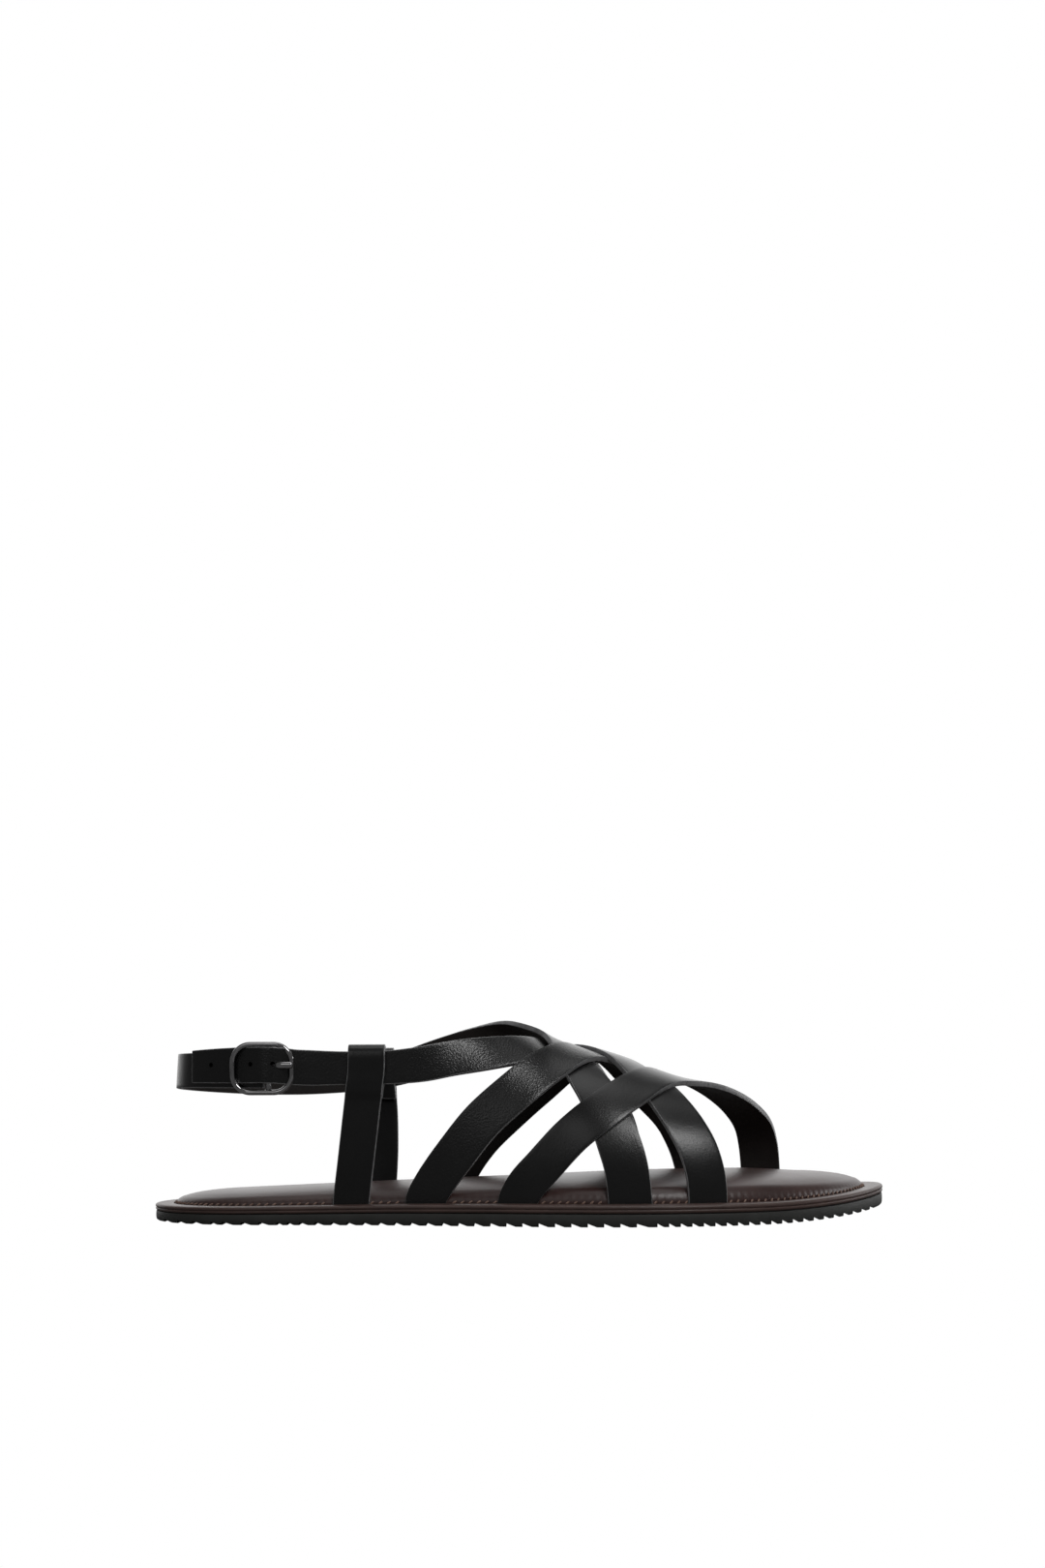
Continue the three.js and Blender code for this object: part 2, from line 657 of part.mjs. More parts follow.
// How far off the last the straps below hold up what lies over them at a point
function heldUp(point, under) {
  const heights = under.map((line) => {
    const { gap, width, lift } = nearest(point, line);
    const carried = 1 - smoothstep(width / 2 + STRAP_MARGIN, width / 2 + STRAP_RAMP, gap);
    return carried * (lift + STRAP_THICKNESS - STRAP_BITE);
  });
  return Math.max(0, ...heights);
}

// The nearest spot on a strap's centre line, with its width and the lift on that side of it
function nearest(point, line) {
  const found = { gap: Infinity, width: 0, lift: 0 };
  const span = new THREE.Line3();
  const spot = new THREE.Vector3();
  for (let i = 0; i < line.length - 1; i += 1) {
    span.set(line[i].there, line[i + 1].there);
    span.closestPointToPoint(point, true, spot);
    const gap = spot.distanceTo(point);
    if (gap < found.gap) {
      const share = point.clone().sub(spot).dot(line[i].across) / (line[i].width / 2);
      found.gap = gap;
      found.width = line[i].width;
      found.lift = liftAcross(line[i].lifts, THREE.MathUtils.clamp(share, -1, 1));
    }
  }
  return found;
}

function liftAcross([low, middle, high], share) {
  return share < 0 ? middle + (middle - low) * share : middle + (high - middle) * share;
}

// A strap's section: across runs from edge to edge, depth from the inner to the outer face
const STRAP_SECTION = [
  { across: -1, depth: 0 },
  { across: 0, depth: 0 },
  { across: 1, depth: 0 },
  { across: 1, depth: 0.72 },
  { across: 0.93, depth: 1 },
  { across: 0, depth: 1 },
  { across: -0.93, depth: 1 },
  { across: -1, depth: 0.72 },
];

// A strap as a solid. grow makes it larger all round, to cut its slit, where its feet end
// level.
function makeStrap(line, grow = 0) {
  const rings = line.map((step) => {
    return STRAP_SECTION.map(({ across, depth }) => {
      const edge = step.there.clone();
      edge.addScaledVector(step.across, across * (step.width / 2 + grow));
      const { there, out } = onLast(edge);
      const face = depth * STRAP_THICKNESS + (depth - 0.5) * 2 * grow;
      const corner = there.addScaledVector(out, liftAcross(step.lifts, across) + face);
      return step.foot ? corner.setZ(step.there.z - grow) : corner;
    });
  });
  return ringSolid(rings);
}

// A flat strip along a path, from its centre points and one direction across
function makeStrip(points, across, width, thickness) {
  const rings = points.map((point, i) => {
    const before = points[Math.max(0, i - 1)];
    const after = points[Math.min(points.length - 1, i + 1)];
    const out = after.clone().sub(before).cross(across).normalize();
    return STRAP_SECTION.map(({ across: share, depth }) => {
      const corner = point.clone().addScaledVector(across, share * (width / 2));
      return corner.addScaledVector(out, (depth - 0.5) * thickness);
    });
  });
  return ringSolid(rings);
}

// A T-bar leans from its foot to its loop, and bow curves it forward half way up
function tbarPoint({ hand, foot, loop, bow }, out, height) {
  const share = THREE.MathUtils.clamp((height - MIDSOLE_TOP) / (TBAR_LOOP_HEIGHT - MIDSOLE_TOP), 0, 1);
  const along = THREE.MathUtils.lerp(foot, loop, share) + bow * Math.sin(Math.PI * share);
  return place(along, hand * out, height);
}

// A T-bar, with its inner end sewn to the strip just under the ankle strap
function makeTbar(bar, grow = 0) {
  const rows = bar.rows.map(({ out, height }) => tbarPoint(bar, out, height));
  const path = new THREE.CatmullRomCurve3(rows, false, 'centripetal');
  const across = new THREE.Vector3(1, bar.hand * bar.skew, 0).normalize();
  const points = path.getPoints((bar.rows.length - 1) * 3);
  if (grow > 0) points[0].z -= grow;
  const strip = makeStrip(points, across, TBAR_WIDTH + 2 * grow, TBAR_THICKNESS + 2 * grow);
  const seam = new THREE.BoxGeometry(TBAR_SEAM.length, TBAR_SEAM.thickness, TBAR_SEAM.height);
  const centre = tbarPoint(bar, bar.seam.out, bar.seam.height);
  seam.translate(centre.x, centre.y, centre.z);
  return strip.add(solidFromGeometry(seam));
}

// A bar along a path of points: round, or wider than it is thick by its flatness
function makeBar(points, radius, sides, closed, flatness = 1) {
  const rings = points.map((point, i) => {
    const before = closed ? points[(i + points.length - 1) % points.length] : points[Math.max(0, i - 1)];
    const after = closed ? points[(i + 1) % points.length] : points[Math.min(points.length - 1, i + 1)];
    const forward = after.clone().sub(before).normalize();
    const first = buckleFrame.out.clone();
    first.addScaledVector(forward, -first.dot(forward)).normalize();
    const second = forward.clone().cross(first);
    return Array.from({ length: sides }, (_, k) => {
      const angle = (2 * Math.PI * k) / sides;
      const offset = first.clone().multiplyScalar(Math.cos(angle) * radius);
      return point.clone().add(offset.addScaledVector(second, Math.sin(angle) * radius * flatness));
    });
  });
  return ringSolid(rings, { closed });
}

// How the buckle lies on the ankle strap's tail: its rear side over the doubled strap
function makeBuckleFrame() {
  const [rear, front] = [-1, 1].map((end) => {
    const beside = place(BUCKLE_ALONG + end * BUCKLE_REACH, BUCKLE_SIDE, BUCKLE_CENTRE_HEIGHT);
    const { there, out } = onLast(beside);
    return there.addScaledVector(out, end < 0 ? BUCKLE_REAR_OFFSET : BUCKLE_FRONT_OFFSET);
  });
  const forward = front.clone().sub(rear).setZ(0).normalize();
  const up = new THREE.Vector3(0, 0, 1);
  const centre = front.clone().add(rear).multiplyScalar(0.5).setZ(BUCKLE_CENTRE_HEIGHT);
  return { centre, forward, up, out: forward.clone().cross(up) };
}

const buckleFrame = makeBuckleFrame();

function bucklePoint(forward, up, out) {
  const point = buckleFrame.centre.clone().addScaledVector(buckleFrame.forward, forward);
  return point.addScaledVector(buckleFrame.up, up).addScaledVector(buckleFrame.out, out);
}

function makeRing(grow = 0) {
  const points = [];
  const corners = [
    { forward: 1, up: 1, start: 0 },
    { forward: -1, up: 1, start: 90 },
    { forward: -1, up: -1, start: 180 },
    { forward: 1, up: -1, start: 270 },
  ];
  corners.forEach(({ forward, up, start }) => {
    for (let i = 0; i <= 4; i += 1) {
      const angle = THREE.MathUtils.degToRad(start + i * 22.5);
      const x = forward * (BUCKLE_REACH - BUCKLE_CORNER) + Math.cos(angle) * BUCKLE_CORNER;
      const z = up * (BUCKLE_RISE - BUCKLE_CORNER) + Math.sin(angle) * BUCKLE_CORNER;
      points.push(bucklePoint(x, z, 0));
    }
  });
  const ring = makeBar(points, BUCKLE_BAR + grow, 8, true);
  const ends = [-1, 1].map((end) => bucklePoint(PIVOT_FORWARD, end * BUCKLE_RISE, -PIVOT_SET_BACK));
  return ring.add(makeBar(ends, BUCKLE_BAR + grow, 8, false));
}

// The prong, from the middle bar up through the tail to rest on the front of the frame
function makeProng(grow = 0) {
  const points = PRONG_PATH.map(({ forward, out }, i) => {
    const longer = i === 0 ? -grow : grow * Number(i === PRONG_PATH.length - 1);
    return bucklePoint(forward + longer, PRONG_RISE, out);
  });
  return makeBar(points, BUCKLE_BAR + grow, 8, false, PRONG_FLATNESS);
}

// A solid without the pockets left closed off inside it where straps cross
function fillPockets(solid) {
  const shells = solid.decompose().filter((shell) => shell.volume() > 0);
  return wasm.Manifold.union(shells);
}

function buildSandal() {
  const lines = STRAPS.map(makeCentreLine);
  lines.forEach((line, order) => raiseOver(line, lines.slice(0, order)));
  const straps = lines.map((line) => makeStrap(line));
  const slits = lines.map((line) => makeStrap(line, CLEARANCE));
  const bars = TBARS.map((bar) => makeTbar(bar));
  const barSlits = TBARS.map((bar) => makeTbar(bar, CLEARANCE));
  const gaps = wasm.Manifold.union([...slits, ...barSlits]);
  const hardware = makeRing(CLEARANCE).add(makeProng(CLEARANCE));
  const upper = fillPockets(wasm.Manifold.union(straps)).subtract(hardware);
  const midsole = ringSolid(MIDSOLE_SECTION.map(soleRing));
  const footbed = ringSolid(FOOTBED_SECTION.map(soleRing));

  const sandal = new THREE.Group();
  sandal.add(meshFromSolid('outsole', makeOutsole(), BLACK_RUBBER));
  sandal.add(meshFromSolid('midsole', midsole.subtract(gaps), BROWN_LEATHER));
  sandal.add(meshFromSolid('footbed', footbed.subtract(gaps), BROWN_LEATHER));
  sandal.add(meshFromSolid('upper', upper, BLACK_LEATHER));
  TBARS.forEach((bar, i) => sandal.add(meshFromSolid(bar.name, bars[i], BLACK_LEATHER)));
  sandal.add(meshFromSolid('buckle_frame', makeRing(), GUNMETAL));
  sandal.add(meshFromSolid('buckle_prong', makeProng(), GUNMETAL));
  return sandal;
}

export default buildSandal();
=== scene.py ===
"""A men's strappy sandal for the right foot: black leather straps woven over a padded footbed."""
# +X runs from heel to toe, -Y is the outer side of the foot and +Z is up. The tables are in
# millimetres, with along measured from the back of the heel.

import math

import bpy
import numpy as np
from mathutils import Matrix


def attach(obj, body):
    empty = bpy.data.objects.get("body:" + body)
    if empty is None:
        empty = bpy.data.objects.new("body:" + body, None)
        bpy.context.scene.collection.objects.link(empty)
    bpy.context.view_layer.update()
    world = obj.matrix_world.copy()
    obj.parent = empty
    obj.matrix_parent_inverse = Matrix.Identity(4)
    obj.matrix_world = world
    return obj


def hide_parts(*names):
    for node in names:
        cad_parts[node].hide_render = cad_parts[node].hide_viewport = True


MM = 0.001
UP = np.array([0, 0, 1.0])
WHITE = (1, 1, 1, 1)

# Where the frame's origin lies, by the tables' along and side
MIDDLE_ALONG = 147.193
MIDDLE_SIDE = 0.111

# How finely curves are divided, the least gap between their points, and the gap in metres
# within which vertices are merged
CURVE_DIVISIONS = 600
LEAST_GAP = 1e-8
MERGE_GAP = 1e-6

# Heights of the layers and the sole's curve
MIDSOLE_TOP = 8.4
HEEL_THINNING = 0.2
HEEL_THINNING_END = 150
SOLE_LENGTH = 295
TOE_SPRING = 4.0
TOE_SPRING_START = 236

# The sole's outline: along, side. Its direction at a place is taken between two others, each
# this share of the outline away.
OUTLINE_TANGENT = 0.01
OUTLINE_DIVISIONS = 1200
SOLE_COLUMNS = 400
SOLE_OUTLINE = [
    (0, 0), (4, -15), (15, -27), (34, -34.5), (62, -37), (95, -39.5), (128, -45),
    (160, -50.5), (187, -52.5), (212, -50.5), (237, -43.5), (258, -33), (275, -20),
    (287, -5), (294, 11), (294, 26), (288, 38), (276, 47.5), (256, 52), (232, 52.5),
    (205, 48.5), (178, 40), (150, 33), (120, 30.5), (90, 32), (60, 34.5), (34, 33.5),
    (15, 26.5), (4, 15),
]

# The sole's layers: inset from the outline, share to the middle line, height
OUTSOLE_SECTION = [
    (1.4, 1, 0), (1.4, 0, 0), (0.9, 0, 0.15), (0.45, 0, 0.6), (0.25, 0, 1.4), (0.2, 0, 2.6),
    (0.25, 0, 4.2), (0.4, 0, 4.75), (0.8, 0, 5.0), (1.6, 0, 5.05), (1.6, 1, 5.05),
]
MIDSOLE_SECTION = [
    (1.4, 1, 5.1), (1.4, 0, 5.1), (0.7, 0, 5.15), (0.3, 0, 5.35), (0.1, 0, 5.7), (0.05, 0, 6.1),
    (0.15, 0, 6.4), (0.38, 0, 6.6), (0.15, 0, 6.8), (0.03, 0, 7.05), (0.0, 0, 7.35),
    (0.08, 0, 7.7), (0.3, 0, 8.0), (0.65, 0, 8.24), (1.2, 0, 8.37), (2.0, 0, 8.42),
    (4.5, 0, 8.4), (6.4, 0, 8.42), (7.0, 0, 8.32), (7.35, 0, 8.0), (7.6, 0, 7.6),
    (7.9, 0, 7.45), (8.6, 0, 7.45), (8.6, 1, 7.45),
]

# The footbed: inset from its edge, share to the middle line, height, share of the padding's
# rise, and how strongly the stitches draw it in
FOOTBED_SECTION = [
    (0.3, 1, 7.5, 0, 0), (0.3, 0, 7.5, 0, 0), (0.0, 0, 7.9, 0, 0.3), (-0.05, 0, 8.2, 0.02, 0.8),
    (0.0, 0, 8.4, 0.08, 1.0), (0.2, 0, 8.5, 0.17, 0.7), (0.6, 0, 8.5, 0.27, 0.3),
    (1.1, 0, 8.5, 0.36, 0.08), (1.8, 0, 8.5, 0.455, 0), (2.6, 0, 8.5, 0.545, 0),
    (3.2, 0.03, 8.5, 0.62, 0), (3.2, 0.09, 8.5, 0.7, 0), (3.2, 0.17, 8.5, 0.785, 0),
    (3.2, 0.28, 8.5, 0.865, 0), (3.2, 0.4, 8.5, 0.92, 0), (3.2, 0.54, 8.5, 0.965, 0),
    (3.2, 0.7, 8.5, 0.99, 0), (3.2, 0.86, 8.5, 0.998, 0), (3.2, 1, 8.5, 1.0, 0),
]
FOOTBED_INSET = 8.2
STITCHES = 216
STITCH_COLUMNS = 8
PUCKER = 0.13
PUCKER_DIP = 0.09

# The padding's middle line, from its start to its end, and a little beyond both: along, side,
# height over the footbed's edge
MIDDLE_START = 32
MIDDLE_END = 262
PADDING = [
    (0, 0, 4.0), (32, 0, 5.0), (90, -1, 6.7), (140, -1, 8.2), (200, 9, 9.8),
    (236, 15, 9.95), (262, 17, 8.0), (295, 17, 5.3),
]

# The thread: inset from the outline and height at each end of a stitch, in a slanting run
STITCH_LOW = (7.3, 8.2)
STITCH_HIGH = (8.75, 9.35)
STITCH_SLANT = 0.8
STITCH_MARGIN = 0.8
THREAD_RADIUS = 0.4
THREAD_SIDES = 8
THREAD_RINGS = 6

# The tread: the uneven grooves at the heel, then zones of start, end, pitch. The pads that bear
# the weight are bare: along, side, length, width.
HEEL_GROOVES = [6.5, 13, 19.4, 27, 31.7, 39.2, 46, 53, 57]
GROOVE_ZONES = [(61.6, 197.4, 6.1), (197.4, 288, 4.4)]
GROOVE_REACH = 65
GROOVE_BELOW = 3
LUG_DEPTH = 1.4
LUG_LAND_SHARE = 0.42
BARE_PADS = [(42, 0, 34, 26), (202, 0, 40, 44)]

# The foot's form inside the straps: along, crest, outer half width, inner half width. It is
# rounded off behind its heel centre. Points are moved on to it in rounds, along its slope, which
# is probed this far to each side.
LAST = [
    (0, 190, 30.5, 26), (60, 190, 30.5, 26), (95, 165, 31.5, 26.5), (110, 124, 32, 23.5),
    (120, 98, 33.5, 21.2), (132, 83.5, 36, 21.2), (143, 76, 38.3, 22.4),
    (150, 72, 39.6, 23.4), (158, 67, 40.7, 25.5), (166, 64, 41.7, 28),
    (175, 62.6, 42.7, 30.5), (183, 61, 43, 32.6), (198, 56.8, 42.6, 37),
    (212, 53.6, 41, 40.7), (225, 51.4, 38, 42.4), (238, 48.6, 33, 43),
    (250, 45, 27, 42.6), (295, 30, 10, 30),
]
LAST_RIDGE = 2
LAST_FULLNESS = 2.3
LAST_HEEL_CENTRE = 60
LAST_HEEL_REACH = 50.5
LAST_PROBE = 0.05
LAST_ROUNDS = 6

# The straps: the leather, how finely it is divided along and across, the rounding of its cut
# edges, and how deep the feet go into the midsole's edge
STRAP_THICKNESS = 2.1
STRAP_STEP = 1.6
STRAP_COLUMNS = 10
STRAP_EDGE = 0.3
STRAP_EDGE_SEGMENTS = 3
STRAP_EDGE_ANGLE = 60
SLIT_DEPTH = 2

# How a strap is raised over the ones below: in full as far as the margin past their edges, then
# less as far as the ramp's end, and only ahead of the weave's start
STRAP_AIR = 0.03
STRAP_MARGIN = 0.6
STRAP_RAMP = 9
LIFT_SOFTNESS = 6
WEAVE_START = 104

# The straps, from the lowest to the one that lies over all the others.
# A row is along, side, height, width, lift off the foot's form.
ANKLE_STRAP_OUTER = [
    (192.5, 36, 9, 15.4, 0), (191, 35, 20, 15.4, 0), (186, 31, 38, 15.2, 0),
    (177, 23, 51, 14.8, 0), (170, 12, 60, 14.4, 0), (164, 1, 65, 14.4, 0),
    (158.5, -8, 66.5, 14.4, 0), (152, -16, 66.5, 14.2, 0), (143, -22, 66, 14, 0),
    (132, -26, 65, 13.8, 0), (120, -29, 63.6, 13.7, 0), (108, -30, 61.3, 13.6, 0),
    (92, -31, 60, 12.8, 0), (77, -31, 60, 12.9, 0), (66, -30, 60.1, 13.6, 0),
    (59, -30, 60.4, 13.7, 0.4), (54.5, -29, 60.8, 13.8, 3.4), (50, -28, 61, 13.8, 4.9),
    (45, -27, 61, 13.8, 3.8), (39.5, -26, 61, 13.8, 2.2), (30, -23, 60.8, 13.3, 1.95),
    (22, -18, 60.5, 12.6, 1.95),
]
ANKLE_STRAP_INNER = [
    (187.7, -43, 9, 16.6, 0), (186.2, -43, 22, 16.6, 0), (183.4, -41, 32, 16.6, 0),
    (178.6, -36, 46, 15.8, 0), (173.5, -28, 55, 14.8, 0), (166, -14, 63, 14.2, 0.4),
    (155, 4, 69, 14, 1.8), (142, 13, 72.5, 14.2, 1.4), (128, 18, 70, 13.8, 0.5),
    (115, 22, 66, 13.6, 0), (104, 25, 62.3, 13.6, 0), (96, 26, 59.7, 13.2, 0),
    (86, 26, 57.8, 13, 0), (75, 26, 56.9, 13.4, 0), (55, 25, 56, 13.6, 0),
    (35, 22, 56.3, 13.6, 0), (18, 13, 57.5, 13.6, 0), (11, 0, 58.8, 13.6, 0),
    (18, -15, 59.2, 13.6, 0), (30, -23, 59.2, 13.6, 0), (40, -26, 59.1, 13.6, 0),
    (48, -28, 59.1, 13.6, 0),
]
INSTEP_STRAP_REAR = [
    (110, -33, 9, 15.6, 0), (113.5, -33, 16, 15.6, 0), (121.5, -34, 27, 15.8, 0),
    (131.5, -33, 39, 15.8, 0), (144.5, -30, 50, 15.8, 0), (155.5, -24, 58, 15.8, 0),
    (167, -13, 62.5, 15.8, 0), (179, 0, 62, 15.8, 0), (190.5, 14, 57.5, 15.8, 0),
    (199, 25, 51, 15.8, 0), (209.5, 35, 41, 15.8, 0), (217, 40, 27, 15.8, 0),
    (220.5, 41.5, 15, 15.8, 0), (221, 42, 9, 15.8, 0),
]
VAMP_STRAP = [
    (217, -40, 9, 15.2, 0), (216.5, -40, 18, 15.2, 0), (214, -39, 28.6, 15.2, 0),
    (210, -36, 37, 15.2, 0), (205, -31, 45.5, 15.2, 0), (198, -21, 53, 15.4, 0),
    (190, -9, 58, 15.6, 0), (179, 3, 62, 15.8, 0), (168, 13, 61, 15.8, 0),
    (156, 20, 54, 15.8, 0), (142.5, 22.5, 42.8, 15.8, 0), (128.5, 21.5, 28.6, 15.8, 0),
    (120.5, 21.2, 16, 15.8, 0), (119, 21, 9, 15.8, 0),
]
INSTEP_STRAP_FRONT = [
    (145.4, -39, 9, 14.8, 0), (148.5, -39, 15, 14.8, 0), (154.6, -40, 22, 14.8, 0),
    (165.4, -39, 33.4, 14.8, 0), (177.5, -36, 42.3, 14.8, 0), (188, -29, 48.5, 14.8, 0),
    (200, -16, 53, 15, 0), (212.5, -1, 54, 14.6, 0), (226, 15, 50, 14.4, 0),
    (237.5, 27, 44, 14.8, 0), (244, 34.5, 36.5, 15.6, 0), (247, 40, 27, 16.2, 0),
    (248.3, 42, 16, 16.2, 0), (248.5, 42.7, 9, 16.2, 0),
]

# The straps in the order in which they lie, with whether both ends are feet in the sole, and
# whether the leather's grain shows
STRAPS = [
    ("ankle_strap_outer", ANKLE_STRAP_OUTER, False, True),
    ("ankle_strap_inner", ANKLE_STRAP_INNER, False, False),
    ("instep_strap_rear", INSTEP_STRAP_REAR, True, True),
    ("vamp_strap", VAMP_STRAP, True, False),
    ("instep_strap_front", INSTEP_STRAP_FRONT, True, False),
]

# The T-bars: the hand is -1 on the outer side, foot and loop are places along, the skew turns the
# strip with the ankle strap, the bow bends it forward half way up, and a row is out, height
TBAR_WIDTH = 14.2
TBAR_THICKNESS = 1.9
TBAR_STEP = 0.8
TBAR_COLUMNS = 8
TBAR_LOOP_HEIGHT = 60
TBAR_OUTER = {
    "hand": -1, "foot": 81, "loop": 87.4, "skew": 0.03, "bow": 0,
    "rows": [
        (29.9, 6.2), (29.9, 10), (31.0, 25), (32.2, 40), (32.7, 47.6), (34.0, 52), (34.0, 59),
        (33.9, 65.4), (33.1, 67.3), (31.1, 68.2), (29.0, 67.5), (28.2, 65.6), (28.3, 59),
        (28.8, 48.2),
    ],
}
TBAR_INNER = {
    "hand": 1, "foot": 87.5, "loop": 86.6, "skew": 0.01, "bow": 1.2,
    "rows": [
        (23.5, 6.2), (23.5, 10), (25.6, 25), (27.2, 40), (27.8, 46.8), (29.6, 51.2), (29.5, 59),
        (29.4, 64.8), (28.6, 66.7), (26.5, 67.7), (24.2, 67), (23.2, 65.2), (23.3, 59),
        (24.2, 47.4),
    ],
}

# The buckle's bars, and their domed ends: width and reach of each ring, as shares of the radius
BAR_RADIUS = 1.05
BAR_SIDES = 16
BAR_DOME = [(0.75, 0.5), (0, 0.72)]

# The buckle, with its middle bar and its prong's path of ahead, out
BUCKLE_LENGTH = 25
BUCKLE_HEIGHT = 20.6
BUCKLE_CORNER = 7
CORNER_STEPS = 12
BUCKLE_REACH = BUCKLE_LENGTH / 2 - BAR_RADIUS
BUCKLE_RISE = BUCKLE_HEIGHT / 2 - BAR_RADIUS
BUCKLE_ALONG = 47.8
BUCKLE_SIDE = -28
BUCKLE_CENTRE_HEIGHT = 60
BUCKLE_REAR_OFFSET = 5.6
BUCKLE_FRONT_OFFSET = 3.6
PIVOT_FORWARD = 2.4
PIVOT_SET_BACK = 0.9
PRONG_RISE = 1.2
PRONG_FLATNESS = 1.3
PRONG_STEPS = 20
PRONG_PATH = [(4.0, 0.4), (5.6, 1.4), (7.8, 2.2), (10.0, 2.4), (11.65, 2.4)]

# The holes in the ankle strap's tail, by their places along
TAIL_HOLES = [26.8, 43.9, 52.2]
HOLE_HEIGHT = 61.4
HOLE_RADIUS = 0.9
HOLE_SIDES = 20
HOLE_MIDDLE = 4.6
HOLE_DEPTH = 6.8

# The finishes' colours: where they are lightest, then where they are darkest
BLACK = ((0.004, 0.004, 0.0042), (0.0022, 0.0022, 0.0024))
# The cut edges' grey is partly the edges' own lighter tone and partly painted highlight, lifted to
# draw thin light lines along the straps' edges.
EDGE_GREY_AND_HIGHLIGHT = ((0.24, 0.24, 0.245), (0.15, 0.15, 0.153))
LINING_BROWN = ((0.014, 0.01, 0.0085), (0.009, 0.0065, 0.0055))
FOOTBED_OXBLOOD = ((0.046, 0.0165, 0.013), (0.03, 0.0105, 0.0085))
WRAP_OXBLOOD = ((0.084, 0.05, 0.042), (0.056, 0.033, 0.028))
THREAD_BROWN = ((0.24, 0.15, 0.115), (0.15, 0.092, 0.07))
RUBBER_BLACK = ((0.032, 0.0335, 0.031), (0.022, 0.023, 0.021))
GUNMETAL = ((0.4, 0.395, 0.4), (0.32, 0.315, 0.32))

# What the finishes share: the mottle's limits, and the size and depth of detail of their grain
MOTTLE_RAMP = (0.32, 0.68)
MOTTLE_DETAIL = 4.0
CREASE_SCALE = 150.0
CREASE_DETAIL = 5.0
CREASE_DISTORTION = 1.2
PORE_SCALE = 3200.0
PORE_DETAIL = 3.0

# The studio in metres: the floor, and how the surround brightens upwards and backwards
FLOOR_SIZE = 30
FLOOR_GREY = 0.22
FLOOR_ROUGHNESS = 0.9
STUDIO_ABOVE = (0.88, 1.02)
STUDIO_BEHIND = (0.35, 0.95)
STUDIO_DIM = 0.13
STUDIO_BRIGHT = 1.6

# The soft lights: name, azimuth, elevation, size, power
SOFTBOX_DISTANCE = 1.0
SOFTBOX_AIM_HEIGHT = 0.03
SOFTBOXES = [
    ("right softbox", 28, 42, 0.28, 2.6),
    ("left softbox", -25, 28, 0.4, 0.4),
    ("right side light", 100, 12, 0.4, 1.6),
]

# The camera in metres, degrees and shares of the frame
CAMERA_PLACE = (0, -0.72, 0.0577)
CAMERA_ROLL = 0.22
CAMERA_LENS = 41.11
CAMERA_SENSOR = 36
CAMERA_SHIFT = 0.1846
CAMERA_NEAR = 0.01


def smoothstep(low, high, value):
    t = np.clip((value - low) / (high - low), 0, 1)
    return t * t * (3 - 2 * t)


def smooth_column(rows, field):
    """A smooth curve through one column of a table, without overshoot between its rows."""
    at = np.array([row[0] for row in rows], float)
    value = np.array([row[field] for row in rows], float)
    chord = np.diff(value) / np.diff(at)
    slope = np.zeros(len(rows))
    for i in range(1, len(rows) - 1):
        if chord[i - 1] * chord[i] > 0:
            slope[i] = 2 * chord[i - 1] * chord[i] / (chord[i - 1] + chord[i])

    def read(along):
        along = np.clip(along, at[0], at[-1])
        i = np.clip(np.searchsorted(at, along, side="right") - 1, 0, len(at) - 2)
        span = at[i + 1] - at[i]
        t = (along - at[i]) / span
        rise = t * t * (3 - 2 * t)
        bend = t * (1 - t) * span * ((1 - t) * slope[i] - t * slope[i + 1])
        return value[i] * (1 - rise) + value[i + 1] * rise + bend

    return read


crest_at = smooth_column(LAST, 1)
outer_at = smooth_column(LAST, 2)
inner_at = smooth_column(LAST, 3)
middle_side_at = smooth_column(PADDING, 1)
padding_at = smooth_column(PADDING, 2)


def sole_level(along, height):
    """A layer's height, lower at the heel and raised by the toe spring."""
    thinning = HEEL_THINNING * (1 - smoothstep(0, HEEL_THINNING_END, along))
    t = np.maximum(0, along - TOE_SPRING_START) / (SOLE_LENGTH - TOE_SPRING_START)
    return height * (1 - thinning) + TOE_SPRING * t * t


def last_level(points):
    """How far out each point lies in the foot's form: 1 on its surface, less inside."""
    along = points[:, 0]
    base = sole_level(along, MIDSOLE_TOP)
    across = points[:, 1] - LAST_RIDGE
    half = np.where(across < 0, outer_at(along) + LAST_RIDGE, inner_at(along) - LAST_RIDGE)
    u = np.abs(across) / half
    v = np.maximum(0, points[:, 2] - base) / (crest_at(along) - base)
    w = np.maximum(0, LAST_HEEL_CENTRE - along) / LAST_HEEL_REACH
    n = LAST_FULLNESS
    return (u**n + v**n + w**n) ** (1 / n)


def last_gradient(points):
    slopes = []
    for way in LAST_PROBE * np.eye(3):
        slopes.append((last_level(points + way) - last_level(points - way)) / (2 * LAST_PROBE))
    return np.stack(slopes, 1)


def unit(vectors):
    return vectors / np.linalg.norm(vectors, axis=-1, keepdims=True)


def on_last(points):
    """The points moved on to the foot's form, and the way out of it there."""
    there = np.array(points, float)
    for _ in range(LAST_ROUNDS):
        gradient = last_gradient(there)
        square = (gradient**2).sum(1)
        there += gradient * ((1 - last_level(there)) / square)[:, None]
    return there, unit(last_gradient(there))


def four_around(points, t, closed):
    """The four points around t, and the share of the way between the middle two of them."""
    count = len(points)
    place = t * (count if closed else count - 1)
    i = int(math.floor(place))
    if closed:
        return [points[(i + k) % count] for k in (-1, 0, 1, 2)], place - i
    i = min(i, count - 2)
    before = points[i - 1] if i > 0 else 2 * points[0] - points[1]
    after = points[i + 2] if i + 2 < count else 2 * points[-1] - points[-2]
    return [before, points[i], points[i + 1], after], place - i


def cubic(start, end, start_slope, end_slope, t):
    bend = -3 * start + 3 * end - 2 * start_slope - end_slope
    twist = 2 * start - 2 * end + start_slope + end_slope
    return start + start_slope * t + bend * t**2 + twist * t**3


